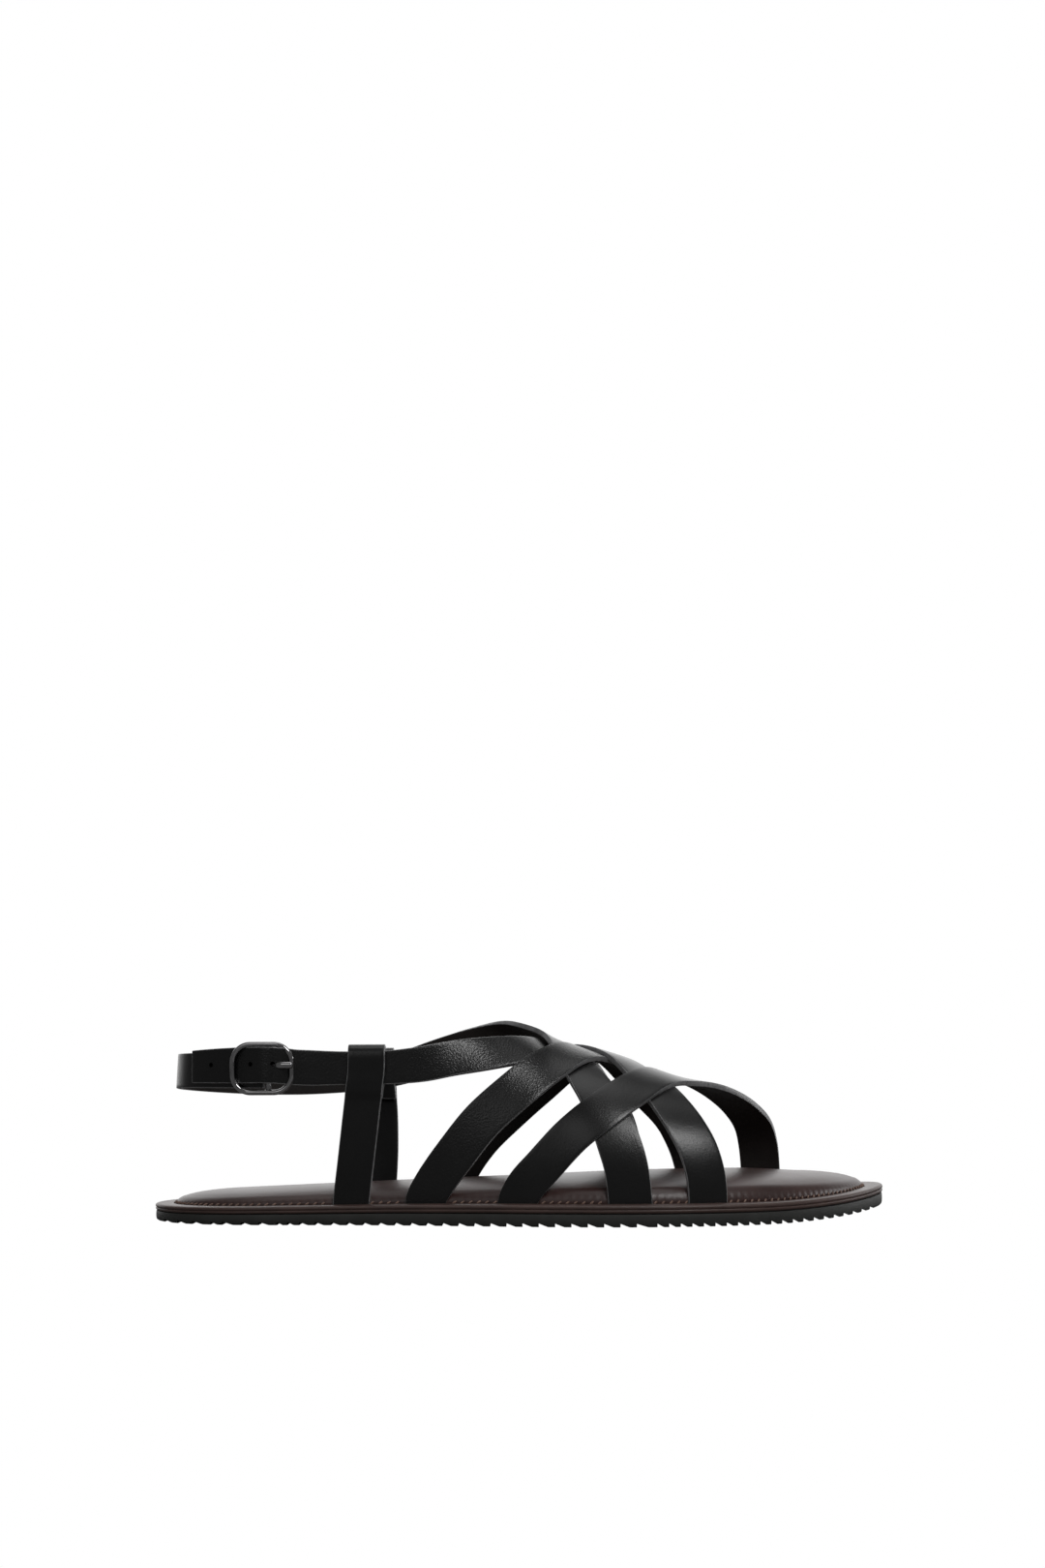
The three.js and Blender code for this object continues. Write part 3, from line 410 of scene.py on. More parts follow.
def curve_point(points, t, closed=False):
    """A point of the centripetal curve through the points, with t from 0 to 1."""
    (p0, p1, p2, p3), share = four_around(points, t, closed)
    pairs = ((p0, p1), (p1, p2), (p2, p3))
    d0, d1, d2 = (max(np.linalg.norm(b - a), LEAST_GAP) ** 0.5 for a, b in pairs)
    slope1 = ((p1 - p0) / d0 - (p2 - p0) / (d0 + d1) + (p2 - p1) / d1) * d1
    slope2 = ((p2 - p1) / d1 - (p3 - p1) / (d1 + d2) + (p3 - p2) / d2) * d1
    return cubic(p1, p2, slope1, slope2, share)


def column_point(values, t):
    """The value at t, from 0 to 1, of the smooth curve through a column of evenly set values."""
    (v0, v1, v2, v3), share = four_around(values, t, False)
    return cubic(v1, v2, 0.5 * (v2 - v0), 0.5 * (v3 - v1), share)


def run_along(path):
    """How far along a path each of its points lies."""
    return np.concatenate([[0], np.cumsum(np.linalg.norm(np.diff(path, axis=0), axis=1))])


def even_places(points, step):
    """Values of t that lie a step apart along the curve through the points."""
    ts = np.linspace(0, 1, CURVE_DIVISIONS + 1)
    run = run_along(np.array([curve_point(points, t) for t in ts]))
    count = max(2, round(run[-1] / step))
    return np.interp(np.linspace(0, run[-1], count + 1), run, ts)


def strap_line(rows, two_feet):
    """A strap's centre line on the foot's form: its places, ways across, widths and lifts."""
    def foot(row):
        floor = float(sole_level(np.array(row[0]), MIDSOLE_TOP)) - SLIT_DEPTH
        return (row[0], row[1], floor, row[3], row[4])

    full = [foot(rows[0]), *rows]
    if two_feet:
        full.append(foot(rows[-1]))
    table = np.array(full, float)
    anchors, _ = on_last(table[:, :3])
    ts = even_places(anchors, STRAP_STEP)
    there, out = on_last(np.array([curve_point(anchors, t) for t in ts]))
    ahead = np.gradient(there, axis=0)
    across = unit(np.cross(ahead, out))
    width = np.array([column_point(table[:, 3], t) for t in ts])
    lift = np.maximum(0, [column_point(table[:, 4], t) for t in ts])
    return {"there": there, "across": across, "width": width, "lift": lift}


def nearest(points, line):
    """Each point's distance from a centre line, the nearest step and the share across it."""
    start, end = line["there"][:-1], line["there"][1:]
    span = end - start
    t = ((points[:, None] - start) * span).sum(2) / (span**2).sum(1)
    spot = start + np.clip(t, 0, 1)[..., None] * span
    gap = np.linalg.norm(points[:, None] - spot, axis=2)
    which = gap.argmin(1)
    row = np.arange(len(points))
    beside = ((points - spot[row, which]) * line["across"][which]).sum(1)
    return gap[row, which], which, np.clip(beside / (line["width"][which] / 2), -1, 1)


def lift_across(lifts, share):
    """A strap's lift between its low edge, its middle and its high edge."""
    low, middle, high = lifts.T
    return middle + (high - low) / 2 * share + ((high + low) / 2 - middle) * share**2


def held_up(points, under):
    """How far off the foot's form the straps below hold up what lies over them."""
    height = np.zeros(len(points))
    for line in under:
        gap, which, share = nearest(points, line)
        half = line["width"][which] / 2
        carried = 1 - smoothstep(half + STRAP_MARGIN, half + STRAP_RAMP, gap)
        top = lift_across(line["lifts"][which], share) + STRAP_THICKNESS + STRAP_AIR
        height = np.maximum(height, carried * top)
    return height


def raise_over(line, under):
    """Raises a strap over the ones below it, eased along it and evened out across it."""
    needed = []
    for share in (-1, 0, 1):
        spots = line["there"] + line["across"] * (share * line["width"] / 2)[:, None]
        needed.append(held_up(on_last(spots)[0], under))
    needed = np.stack(needed, 1)
    needed[line["there"][:, 0] < WEAVE_START] = 0
    steps = np.arange(len(needed))
    apart = (steps[:, None] - steps) * STRAP_STEP
    weights = np.exp(-((apart / LIFT_SOFTNESS) ** 2) / 2)
    eased = weights @ needed / weights.sum(1)[:, None]
    even = (eased[:, 0] + 2 * eased[:, 1] + eased[:, 2]) / 4
    line["lifts"] = line["lift"][:, None] + (eased + even[:, None]) / 2


def to_frame(points):
    """From along, side and height in millimetres to the frame's metres."""
    return (np.asarray(points, float) - (MIDDLE_ALONG, MIDDLE_SIDE, 0)) * MM


def from_frame(points):
    return np.asarray(points, float) / MM + (MIDDLE_ALONG, MIDDLE_SIDE, 0)


def only(*pieces):
    """Makes these pieces the ones that are selected, and the last of them active."""
    bpy.ops.object.select_all(action="DESELECT")
    for piece in pieces:
        piece.select_set(True)
        bpy.context.view_layer.objects.active = piece


def name_new(name):
    """Names the piece that was just made."""
    piece = bpy.context.active_object
    piece.name = name
    piece.data.name = name
    return piece


def add_primitive(name, add, **settings):
    """Adds a primitive while nothing else is selected, and names it."""
    bpy.ops.object.select_all(action="DESELECT")
    add(**settings)
    return name_new(name)


def new_grid(name, columns, rows):
    """A flat grid with its corners at -1 and 1, ready to be shaped."""
    return add_primitive(name, bpy.ops.mesh.primitive_grid_add,
                         x_subdivisions=columns, y_subdivisions=rows, size=2)


def vertices_of(piece):
    """The places of a piece's vertices, as they are in its mesh."""
    return np.array([vertex.co for vertex in piece.data.vertices])


def move_vertices(piece, points):
    """Moves a piece's vertices to these places, in millimetres."""
    piece.data.vertices.foreach_set("co", to_frame(points).ravel())


def shape_grid(piece, shape):
    """Moves every vertex of a grid: shape takes the grid's u and v, both from 0 to 1."""
    flat = vertices_of(piece)
    move_vertices(piece, shape((flat[:, 0] + 1) / 2, (flat[:, 1] + 1) / 2))
    piece.data.update()


def turn_right_side_out(piece):
    """Merges a closed piece's doubled vertices and points its faces outwards."""
    only(piece)
    bpy.ops.object.mode_set(mode="EDIT")
    bpy.ops.mesh.select_all(action="SELECT")
    bpy.ops.mesh.remove_doubles(threshold=MERGE_GAP)
    bpy.ops.mesh.normals_make_consistent(inside=False)
    bpy.ops.object.mode_set(mode="OBJECT")


def modify(piece, kind, **settings):
    """Adds a modifier with these settings and applies it."""
    only(piece)
    modifier = piece.modifiers.new(kind.lower(), kind)
    for key, value in settings.items():
        setattr(modifier, key, value)
    bpy.ops.object.modifier_apply(modifier=modifier.name)


def smooth(piece, degrees):
    """Shades a piece smooth, but for edges that turn by more than this."""
    only(piece)
    bpy.ops.object.shade_smooth_by_angle(angle=math.radians(degrees))


def give(piece, *materials):
    piece.data.materials.clear()
    for material in materials:
        piece.data.materials.append(material)


def set_in_place(piece, node):
    """Rides a finished piece on the sandal, in the place of its CAD node if it has one."""
    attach(piece, "root")
    if node:
        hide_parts(node)


def cut_out(piece, cutter):
    """Cuts one piece's shape out of another, and removes the cutter."""
    modify(piece, "BOOLEAN", operation="DIFFERENCE", solver="EXACT", object=cutter)
    only(cutter)
    bpy.ops.object.delete()


def thicken(piece, thickness, offset):
    """Gives a strip of leather its thickness, outwards at offset 1 and both ways at 0, and
    rounds its cut edges."""
    modify(piece, "SOLIDIFY", thickness=thickness * MM, offset=offset, use_even_offset=True,
           material_offset=2, material_offset_rim=1)
    # The rounded edges take the cut edge finish: their own grey, lightened further with painted
    # highlight.
    modify(piece, "BEVEL", width=STRAP_EDGE * MM, segments=STRAP_EDGE_SEGMENTS, limit_method="ANGLE",
           angle_limit=math.radians(STRAP_EDGE_ANGLE), material=1)
    smooth(piece, degrees=40)


def make_strap(name, line, two_feet, finish):
    """One leather strap, laid on the foot's form and over the straps below it."""
    steps = len(line["there"]) - 1
    piece = new_grid(name, steps, STRAP_COLUMNS)

    def shape(u, v):
        i = np.rint(u * steps).astype(int)
        share = 2 * v - 1
        spots = line["there"][i] + line["across"][i] * (share * line["width"][i] / 2)[:, None]
        there, out = on_last(spots)
        points = there + out * lift_across(line["lifts"][i], share)[:, None]
        foot = (i == 0) | ((i == steps) & two_feet)
        points[foot, 2] = line["there"][i][foot, 2]
        return points

    shape_grid(piece, shape)
    middle_face = piece.data.polygons[len(piece.data.polygons) // 2]
    _, out = on_last(from_frame(middle_face.center)[None])
    if np.dot(middle_face.normal, out[0]) < 0:
        piece.data.flip_normals()
    give(piece, *finish)
    thicken(piece, STRAP_THICKNESS, offset=1)
    return piece


def tbar_path(bar):
    """A T-bar's middle line, from its slit over the ankle strap to its sewn end."""
    points = []
    for out, height in bar["rows"]:
        share = min(max((height - MIDSOLE_TOP) / (TBAR_LOOP_HEIGHT - MIDSOLE_TOP), 0), 1)
        lean = (bar["loop"] - bar["foot"]) * share
        along = bar["foot"] + lean + bar["bow"] * math.sin(math.pi * share)
        points.append((along, bar["hand"] * out, height))
    points = np.array(points, float)
    return np.array([curve_point(points, t) for t in even_places(points, TBAR_STEP)])


def make_tbar(name, bar, finish):
    """A strip that rises from the sole, folds over the ankle strap and is sewn inside."""
    across = unit(np.array([1, bar["hand"] * bar["skew"], 0]))
    path = tbar_path(bar)
    steps = len(path) - 1
    piece = new_grid(name, steps, TBAR_COLUMNS)

    def shape(u, v):
        i = np.rint(u * steps).astype(int)
        return path[i] + across * ((2 * v - 1) * TBAR_WIDTH / 2)[:, None]

    shape_grid(piece, shape)
    if piece.data.polygons[0].normal.y * bar["hand"] < 0:
        piece.data.flip_normals()
    give(piece, *finish)
    thicken(piece, TBAR_THICKNESS, offset=0)
    return piece


def make_outline(count):
    """The sole's outline in even steps from the heel, with the way inwards at each step."""
    corners = np.array([(along, side, 0) for along, side in SOLE_OUTLINE], float)
    ts = np.linspace(0, 1, OUTLINE_DIVISIONS + 1)
    path = np.array([curve_point(corners, t, closed=True) for t in ts[:-1]] + [corners[0]])
    run = run_along(path)
    want = np.arange(count) * run[-1] / count
    spots = np.stack([np.interp(want, run, path[:, axis]) for axis in (0, 1)], 1)
    reach = max(1, int(count * OUTLINE_TANGENT))
    ahead = np.roll(spots, -reach, 0) - np.roll(spots, reach, 0)
    return spots, unit(np.stack([-ahead[:, 1], ahead[:, 0]], 1))


def sole_ring(outline, inset, share, height, rise=0):
    """A ring of the sole, inset from its outline at share 0, and on its middle line at 1."""
    spots, inward = outline
    edge = spots + inward * np.reshape(inset, (-1, 1))
    partner = edge[(-np.arange(len(edge))) % len(edge)]
    goal = np.clip((edge[:, 0] + partner[:, 0]) / 2, MIDDLE_START, MIDDLE_END)
    along = edge[:, 0] + (goal - edge[:, 0]) * share
    side = edge[:, 1] + (middle_side_at(goal) - edge[:, 1]) * share
    return np.stack([along, side, sole_level(along, height) + padding_at(along) * rise], 1)


def make_ringed(name, rings):
    """A closed piece from rings of points. The end rings have no width, or are one ring."""
    rings = np.array(rings)
    count = rings.shape[1]
    spans = len(rings) - 1
    piece = new_grid(name, count, spans)

    def shape(u, v):
        return rings[np.rint(v * spans).astype(int), np.rint(u * count).astype(int) % count]

    shape_grid(piece, shape)
    turn_right_side_out(piece)
    return piece


def make_layer(name, section):
    outline = make_outline(SOLE_COLUMNS)
    return make_ringed(name, [sole_ring(outline, *row) for row in section])


def groove_spans():
    """Where each of the tread's grooves starts along the sole, and its length."""
    starts = [*HEEL_GROOVES]
    for start, end, pitch in GROOVE_ZONES:
        starts.extend(start + pitch * i for i in range(round((end - start) / pitch)))
    last_pitch = GROOVE_ZONES[-1][2]
    nexts = [*starts[1:], starts[-1] + last_pitch]
    return [(start, (after - start) * (1 - LUG_LAND_SHARE)) for start, after in zip(starts, nexts)]


def make_groove(start, length, low, high):
    """The cutter of one groove, upright behind and sloping forward, between two sides."""
    lift = float(sole_level(np.array(start + length), 0))
    wedge = add_primitive("groove", bpy.ops.mesh.primitive_cube_add, size=1)
    for vertex in wedge.data.vertices:
        ahead, above = vertex.co.x > 0, vertex.co.z > 0
        top = lift + (0 if ahead else LUG_DEPTH)
        side = high if vertex.co.y > 0 else low
        vertex.co = to_frame((start + length * ahead, side, top if above else -GROOVE_BELOW))
    return wedge


def make_groove_cutter():
    """All the grooves of the tread as one cutter, left out where the bare pads lie."""
    wedges = []
    for start, length in groove_spans():
        sides = [(-GROOVE_REACH, GROOVE_REACH)]
        for along, side, pad_length, pad_width in BARE_PADS:
            if abs(start + length / 2 - along) < pad_length / 2:
                sides = [(-GROOVE_REACH, side - pad_width / 2), (side + pad_width / 2, GROOVE_REACH)]
        for low, high in sides:
            wedges.append(make_groove(start, length, low, high))
    only(*wedges)
    bpy.ops.object.join()
    return bpy.context.active_object


def make_outsole():
    piece = make_layer("rubber_outsole", OUTSOLE_SECTION)
    cut_out(piece, make_groove_cutter())
    smooth(piece, degrees=30)
    return piece


def make_midsole():
    piece = make_layer("wrapped_midsole", MIDSOLE_SECTION)
    smooth(piece, degrees=50)
    return piece


def make_footbed():
    """The padded footbed, swelling from its edge and drawn in at every stitch."""
    count = STITCHES * STITCH_COLUMNS
    outline = make_outline(count)
    drawn = 0.5 + 0.5 * np.cos(2 * np.pi * np.arange(count) / STITCH_COLUMNS)
    rings = []
    for inset, share, height, rise, pull in FOOTBED_SECTION:
        inset = FOOTBED_INSET + inset + PUCKER * pull * drawn
        rise = rise * (1 - PUCKER_DIP * pull * drawn)
        rings.append(sole_ring(outline, inset, share, height, rise))
    piece = make_ringed("footbed_pad", rings)
    smooth(piece, degrees=60)
    return piece


def tbar_line(bar):
    """A T-bar as a centre line, of which only the distance from it is asked."""
    path = tbar_path(bar)
    return {"there": path, "across": np.zeros_like(path), "width": np.full(len(path), TBAR_WIDTH)}


def in_a_slit(spot, lines):
    """Whether a strap or a T-bar goes down into the sole at this spot."""
    for line in lines:
        gap, which, _ = nearest(spot[None], line)
        if gap[0] < line["width"][which[0]] / 2 + STITCH_MARGIN:
            return True
    return False


def stitch_ends(spot, inward):
    """The low and the high end of the stitch at this spot of the outline."""
    slant = STITCH_SLANT * np.array([inward[1], -inward[0]])
    low = np.array([*(spot + inward * STITCH_LOW[0] - slant), 0])
    high = np.array([*(spot + inward * STITCH_HIGH[0] + slant), 0])
    low[2] = sole_level(low[0], STITCH_LOW[1])
    high[2] = sole_level(high[0], STITCH_HIGH[1])
    return low, high


def copy_stitch(model, low, high):
    """A copy of the round model, drawn out from one end of a stitch to the other."""
    run = (high - low) / 2
    side = unit(np.cross(run, UP))
    rise = unit(np.cross(side, run))
    axes = np.stack([run, side * THREAD_RADIUS, rise * THREAD_RADIUS])
    stitch = model.copy()
    stitch.data = model.data.copy()
    bpy.context.scene.collection.objects.link(stitch)
    move_vertices(stitch, (low + high) / 2 + vertices_of(model) @ axes)
    return stitch


def make_stitches(strap_lines):
    """The thread that holds the footbed's edge down, left out where the straps rise."""
    lines = [*strap_lines, tbar_line(TBAR_OUTER), tbar_line(TBAR_INNER)]
    model = add_primitive("stitch", bpy.ops.mesh.primitive_uv_sphere_add,
                          segments=THREAD_SIDES, ring_count=THREAD_RINGS, radius=1)
    only(model)
    bpy.ops.object.shade_smooth()
    stitches = []
    for spot, inward in zip(*make_outline(STITCHES)):
        low, high = stitch_ends(spot, inward)
        if not in_a_slit((low + high) / 2, lines):
            stitches.append(copy_stitch(model, low, high))
    only(model)
    bpy.ops.object.delete()
    only(*stitches)
    bpy.ops.object.join()
    return name_new("footbed_stitches")


def buckle_axes():
    """The buckle's centre, and its ways forward and out of the strap."""
    spots = []
    for end, offset in ((-1, BUCKLE_REAR_OFFSET), (1, BUCKLE_FRONT_OFFSET)):
        beside = (BUCKLE_ALONG + end * BUCKLE_REACH, BUCKLE_SIDE, BUCKLE_CENTRE_HEIGHT)
        there, out = on_last(np.array([beside]))
        spots.append(there[0] + out[0] * offset)
    rear, front = spots
    forward = unit((front - rear) * (1, 1, 0))
    centre = (front + rear) / 2
    centre[2] = BUCKLE_CENTRE_HEIGHT
    return centre, forward, np.cross(forward, UP)


buckle_centre, buckle_forward, buckle_out = buckle_axes()


def buckle_point(ahead, rise, out):
    """A place on the buckle, counted from its centre."""
    return buckle_centre + buckle_forward * ahead + UP * rise + buckle_out * out


def dome(end, neighbour, ring):
    """The rings that close a bar's end, from the widest to the one at its tip."""
    ahead = unit(end - neighbour)
    return [end + (ring - end) * width + ahead * BAR_RADIUS * reach for width, reach in BAR_DOME]


def make_bar(name, points, closed=False, flatness=1.0):
    """A bar of the buckle along a path, its rings of a circle widened by its flatness."""
    count = len(points)
    turn = 2 * np.pi * np.arange(BAR_SIDES) / BAR_SIDES
    rings = []
    for i, point in enumerate(points):
        before = points[i - 1] if closed else points[max(0, i - 1)]
        after = points[(i + 1) % count] if closed else points[min(count - 1, i + 1)]
        ahead = unit(after - before)
        first = unit(buckle_out - ahead * np.dot(buckle_out, ahead))
        second = np.cross(ahead, first)
        circle = np.outer(np.cos(turn), first) + np.outer(np.sin(turn) * flatness, second)
        rings.append(point + circle * BAR_RADIUS)
    if closed:
        rings.append(rings[0])
    else:
        start_dome = dome(points[0], points[1], rings[0])
        rings = [*start_dome[::-1], *rings, *dome(points[-1], points[-2], rings[-1])]
    piece = make_ringed(name, rings)
    smooth(piece, degrees=50)
    return piece


def make_buckle_ring():
    points = []
    for ahead, rise, start in ((1, 1, 0), (-1, 1, 90), (-1, -1, 180), (1, -1, 270)):
        for i in range(CORNER_STEPS + 1):
            angle = math.radians(start + 90 * i / CORNER_STEPS)
            x = ahead * (BUCKLE_REACH - BUCKLE_CORNER) + math.cos(angle) * BUCKLE_CORNER
            z = rise * (BUCKLE_RISE - BUCKLE_CORNER) + math.sin(angle) * BUCKLE_CORNER
            points.append(buckle_point(x, z, 0))
    return make_bar("buckle_ring", points, closed=True)


def make_buckle_bar():
    ends = [buckle_point(PIVOT_FORWARD, end * BUCKLE_RISE, -PIVOT_SET_BACK) for end in (-1, 1)]
    return make_bar("buckle_bar", ends)


def make_prong():
    knots = np.array([buckle_point(ahead, PRONG_RISE, out) for ahead, out in PRONG_PATH])
    points = [curve_point(knots, t) for t in np.linspace(0, 1, PRONG_STEPS + 1)]
    return make_bar("buckle_prong_pin", points, flatness=PRONG_FLATNESS)


def punch_holes(strap):
    """Punches the holes in the ankle strap's tail."""
    for along in TAIL_HOLES:
        there, out = on_last(np.array([[along, BUCKLE_SIDE, HOLE_HEIGHT]]))
        punch = add_primitive("punch", bpy.ops.mesh.primitive_cylinder_add,
                              vertices=HOLE_SIDES, radius=1, depth=2)
        first = unit(np.cross(out[0], UP))
        second = np.cross(out[0], first)
        axes = np.stack([first * HOLE_RADIUS, second * HOLE_RADIUS, out[0] * HOLE_DEPTH / 2])
        middle = there[0] + out[0] * HOLE_MIDDLE
        move_vertices(punch, middle + vertices_of(punch) @ axes)
        cut_out(strap, punch)
    smooth(strap, degrees=40)


def new_material(name, color, roughness, metallic=0.0, specular=0.5):
    material = bpy.data.materials.new(name)
    material.use_nodes = True
    shader = material.node_tree.nodes["Principled BSDF"]
    shader.inputs["Base Color"].default_value = (*color, 1)
    shader.inputs["Roughness"].default_value = roughness
    shader.inputs["Metallic"].default_value = metallic
    shader.inputs["Specular IOR Level"].default_value = specular
    return material


def add_node(owner, kind, **settings):
    """A node of a material or of the surround, with these sockets and settings."""
    node = owner.node_tree.nodes.new(kind)
    for key, value in settings.items():
        if key in node.inputs:
            node.inputs[key].default_value = value
        else:
            setattr(node, key, value)
    return node


def connect(owner, source, output, target, socket):
    owner.node_tree.links.new(source.outputs[output], target.inputs[socket])


def mottled(name, light, dark, roughness, spread, scale, metallic=0.0, specular=0.5):
    """A finish whose colour and gloss drift slowly over the surface."""
    material = new_material(name, light, roughness, metallic, specular)
    shader = material.node_tree.nodes["Principled BSDF"]
    place = add_node(material, "ShaderNodeTexCoord")
    drift = add_node(material, "ShaderNodeTexNoise", Scale=scale, Detail=MOTTLE_DETAIL)
    ramp = add_node(material, "ShaderNodeValToRGB")
    for element, position, color in zip(ramp.color_ramp.elements, MOTTLE_RAMP, (dark, light)):
        element.position = position
        element.color = (*color, 1)
    gloss = add_node(material, "ShaderNodeMapRange")
    gloss.inputs["To Min"].default_value = roughness - spread
    gloss.inputs["To Max"].default_value = roughness + spread
    connect(material, place, "Object", drift, "Vector")
    connect(material, drift, "Fac", ramp, "Fac")
    connect(material, ramp, "Color", shader, "Base Color")
    connect(material, drift, "Fac", gloss, "Value")
    connect(material, gloss, "Result", shader, "Roughness")
    return material, place


def grained(finish, pebble, pebble_depth, pore_depth, crease_depth=0.0):
    """Adds a leather's grain: pebbles of this size, fine pores and soft creases, in mm."""
    material, place = finish
    shader = material.node_tree.nodes["Principled BSDF"]
    creases = add_node(material, "ShaderNodeTexNoise", Scale=CREASE_SCALE, Detail=CREASE_DETAIL,
                       Distortion=CREASE_DISTORTION)
    pebbles = add_node(material, "ShaderNodeTexVoronoi", feature="SMOOTH_F1", Scale=1 / (pebble * MM))
    pores = add_node(material, "ShaderNodeTexNoise", Scale=PORE_SCALE, Detail=PORE_DETAIL)
    layers = (
        (creases, "Fac", crease_depth),
        (pebbles, "Distance", pebble_depth),
        (pores, "Fac", pore_depth),
    )
    below = None
    for texture, output, depth in layers:
        connect(material, place, "Object", texture, "Vector")
        bump = add_node(material, "ShaderNodeBump", Strength=1.0, Distance=depth * MM)
        connect(material, texture, output, bump, "Height")
        if below:
            connect(material, below, "Normal", bump, "Normal")
        below = bump
    connect(material, below, "Normal", shader, "Normal")
    return material


def split_for_camera(owner, lit, seen, output):
    """Shows one shader to the camera, and another to everything else."""
    path = add_node(owner, "ShaderNodeLightPath")
    mix = add_node(owner, "ShaderNodeMixShader")
    connect(owner, path, "Is Camera Ray", mix, 0)
    connect(owner, lit, 0, mix, 1)
    connect(owner, seen, 0, mix, 2)
    connect(owner, mix, 0, output, "Surface")


def lay_floor():
    """A white sweep under the sandal, which casts little light back up on it."""
    floor = add_primitive("floor", bpy.ops.mesh.primitive_plane_add, size=FLOOR_SIZE)
    material = new_material("white sweep", (FLOOR_GREY,) * 3, FLOOR_ROUGHNESS, specular=0.0)
    white = add_node(material, "ShaderNodeEmission", Strength=1.0)
    nodes = material.node_tree.nodes
    split_for_camera(material, nodes["Principled BSDF"], white, nodes["Material Output"])
    give(floor, material)


def light_studio():
    """A white surround, bright above and behind the sandal and dim in front of it."""
    world = bpy.data.worlds.new("studio")
    world.use_nodes = True
    nodes = world.node_tree.nodes
    lit = nodes["Background"]
    lit.inputs["Color"].default_value = WHITE
    seen = add_node(world, "ShaderNodeBackground", Color=WHITE)
    way = add_node(world, "ShaderNodeTexCoord")
    axes = add_node(world, "ShaderNodeSeparateXYZ")
    connect(world, way, "Generated", axes, 0)
    brighter = add_node(world, "ShaderNodeMath", operation="MAXIMUM")
    for i, (axis, (low, high)) in enumerate((("Z", STUDIO_ABOVE), ("Y", STUDIO_BEHIND))):
        spread = add_node(world, "ShaderNodeMapRange", interpolation_type="SMOOTHSTEP")
        spread.inputs["From Min"].default_value = low
        spread.inputs["From Max"].default_value = high
        connect(world, axes, axis, spread, "Value")
        connect(world, spread, "Result", brighter, i)
    strength = add_node(world, "ShaderNodeMath", operation="MULTIPLY_ADD")
    strength.inputs[1].default_value = STUDIO_BRIGHT - STUDIO_DIM
    strength.inputs[2].default_value = STUDIO_DIM
    connect(world, brighter, 0, strength, 0)
    connect(world, strength, 0, lit, "Strength")
    split_for_camera(world, lit, seen, nodes["World Output"])
    bpy.context.scene.world = world


def softbox(name, azimuth, elevation, size, power):
    """A square soft light, aimed at the middle of the shoe."""
    light = bpy.data.lights.new(name, "AREA")
    light.size = size
    light.energy = power
    lamp = bpy.data.objects.new(name, light)
    a, e = math.radians(azimuth), math.radians(elevation)
    way = np.array([math.sin(a) * math.cos(e), -math.cos(a) * math.cos(e), math.sin(e)])
    lamp.location = way * SOFTBOX_DISTANCE + (0, 0, SOFTBOX_AIM_HEIGHT)
    lamp.rotation_euler = (math.radians(90) - e, 0, a)
    bpy.context.scene.collection.objects.link(lamp)


def set_camera():
    """A camera at the photograph's angle, looking level from the ankle strap's height."""
    scene = bpy.context.scene
    data = bpy.data.cameras.new("camera")
    data.lens = CAMERA_LENS
    data.sensor_width = CAMERA_SENSOR
    data.shift_y = CAMERA_SHIFT
    data.clip_start = CAMERA_NEAR
    camera = bpy.data.objects.new("camera", data)
    camera.location = CAMERA_PLACE
    camera.rotation_euler = (math.radians(90), math.radians(CAMERA_ROLL), 0)
    scene.collection.objects.link(camera)
    scene.camera = camera
    scene.view_settings.view_transform = "Standard"
    scene.view_settings.look = "None"


# The finishes
grained_leather = grained(
    mottled("black strap leather", *BLACK, roughness=0.3, spread=0.04, scale=90),
    pebble=0.6, pebble_depth=0.09, pore_depth=0.02, crease_depth=0.03)
# The cut edges: their own grey, lightened further with painted highlight.
cut_edge_with_highlight = grained(
    mottled("grey cut edge with painted highlight", *EDGE_GREY_AND_HIGHLIGHT, roughness=0.3, spread=0.08, scale=400),
    pebble=0.25, pebble_depth=0.02, pore_depth=0.02)
strap_lining = grained(
    mottled("dark strap lining", *LINING_BROWN, roughness=0.6, spread=0.08, scale=120),
    pebble=0.35, pebble_depth=0.04, pore_depth=0.02)
smooth_leather = grained(
    mottled("smooth strap leather", *BLACK, roughness=0.3, spread=0.05, scale=70),
    pebble=0.6, pebble_depth=0.025, pore_depth=0.012, crease_depth=0.05)
footbed_leather = grained(
    mottled("oxblood footbed leather", *FOOTBED_OXBLOOD, roughness=0.4, spread=0.04, scale=60,
            specular=0.65),
    pebble=0.6, pebble_depth=0.02, pore_depth=0.006, crease_depth=0.06)
wrap_leather = grained(
    mottled("oxblood wrap leather", *WRAP_OXBLOOD, roughness=0.42, spread=0.08, scale=70),
    pebble=0.55, pebble_depth=0.03, pore_depth=0.01, crease_depth=0.1)
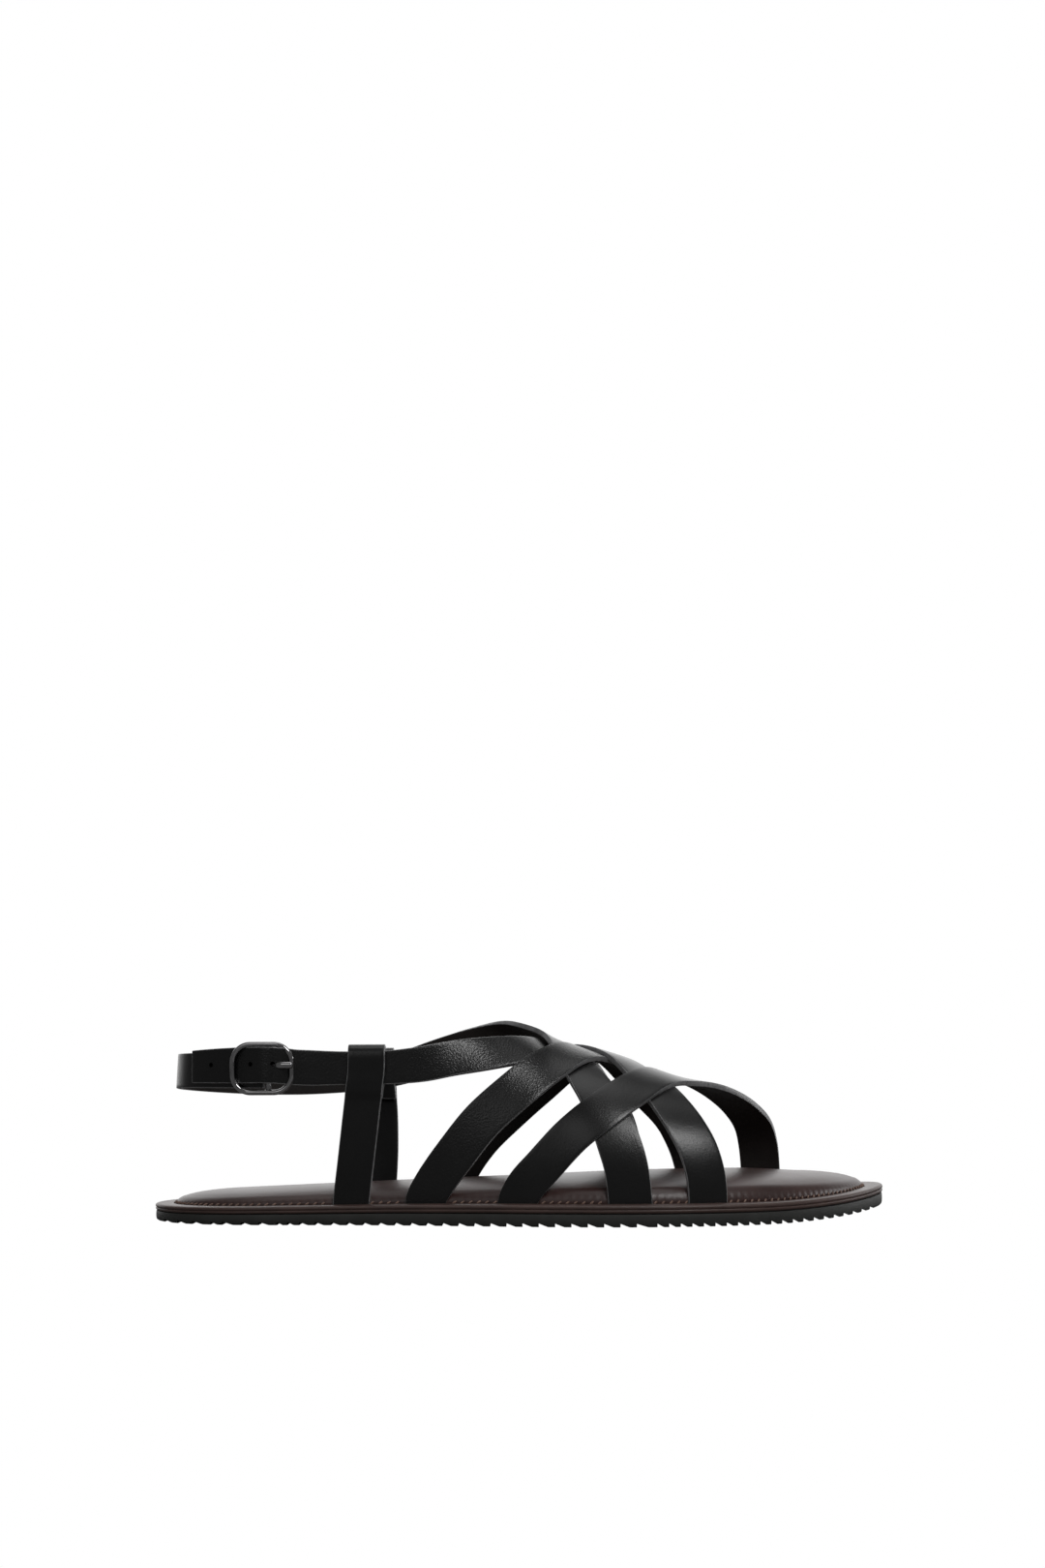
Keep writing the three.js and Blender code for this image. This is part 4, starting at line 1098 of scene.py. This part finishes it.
thread_finish = grained(
    mottled("oxblood thread", *THREAD_BROWN, roughness=0.6, spread=0.05, scale=500),
    pebble=0.2, pebble_depth=0.03, pore_depth=0.02)
rubber = grained(
    mottled("black moulded rubber", *RUBBER_BLACK, roughness=0.55, spread=0.08, scale=110),
    pebble=0.4, pebble_depth=0.03, pore_depth=0.02)
gunmetal, _ = mottled("gunmetal plating", *GUNMETAL, roughness=0.09, spread=0.03, scale=200,
                      metallic=1.0)

# Making
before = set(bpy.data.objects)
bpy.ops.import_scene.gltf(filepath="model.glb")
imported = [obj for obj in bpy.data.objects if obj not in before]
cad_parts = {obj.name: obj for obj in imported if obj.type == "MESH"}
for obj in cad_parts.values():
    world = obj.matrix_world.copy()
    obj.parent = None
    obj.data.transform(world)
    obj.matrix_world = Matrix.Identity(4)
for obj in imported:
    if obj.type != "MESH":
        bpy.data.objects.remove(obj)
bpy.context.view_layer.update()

strap_lines = [strap_line(rows, two_feet) for _, rows, two_feet, _ in STRAPS]
for order, (name, _, two_feet, shows_grain) in enumerate(STRAPS):
    line = strap_lines[order]
    raise_over(line, strap_lines[:order])
    face = grained_leather if shows_grain else smooth_leather
    strap = make_strap(name, line, two_feet, (face, cut_edge_with_highlight, strap_lining))
    if name == "ankle_strap_outer":
        punch_holes(strap)
    set_in_place(strap, "upper")
for name, bar in (("tbar_outer", TBAR_OUTER), ("tbar_inner", TBAR_INNER)):
    strip = make_tbar(name + "_strip", bar, (smooth_leather, cut_edge_with_highlight, smooth_leather))
    set_in_place(strip, name)

footbed = make_footbed()
give(footbed, footbed_leather)
set_in_place(footbed, "footbed")
stitches = make_stitches(strap_lines)
give(stitches, thread_finish)
set_in_place(stitches, None)
midsole = make_midsole()
give(midsole, wrap_leather)
set_in_place(midsole, "midsole")
outsole = make_outsole()
give(outsole, rubber)
set_in_place(outsole, "outsole")

for part, node in ((make_buckle_ring(), "buckle_frame"), (make_buckle_bar(), "buckle_frame"),
                   (make_prong(), "buckle_prong")):
    give(part, gunmetal)
    set_in_place(part, node)

lay_floor()
light_studio()
for settings in SOFTBOXES:
    softbox(*settings)
set_camera()
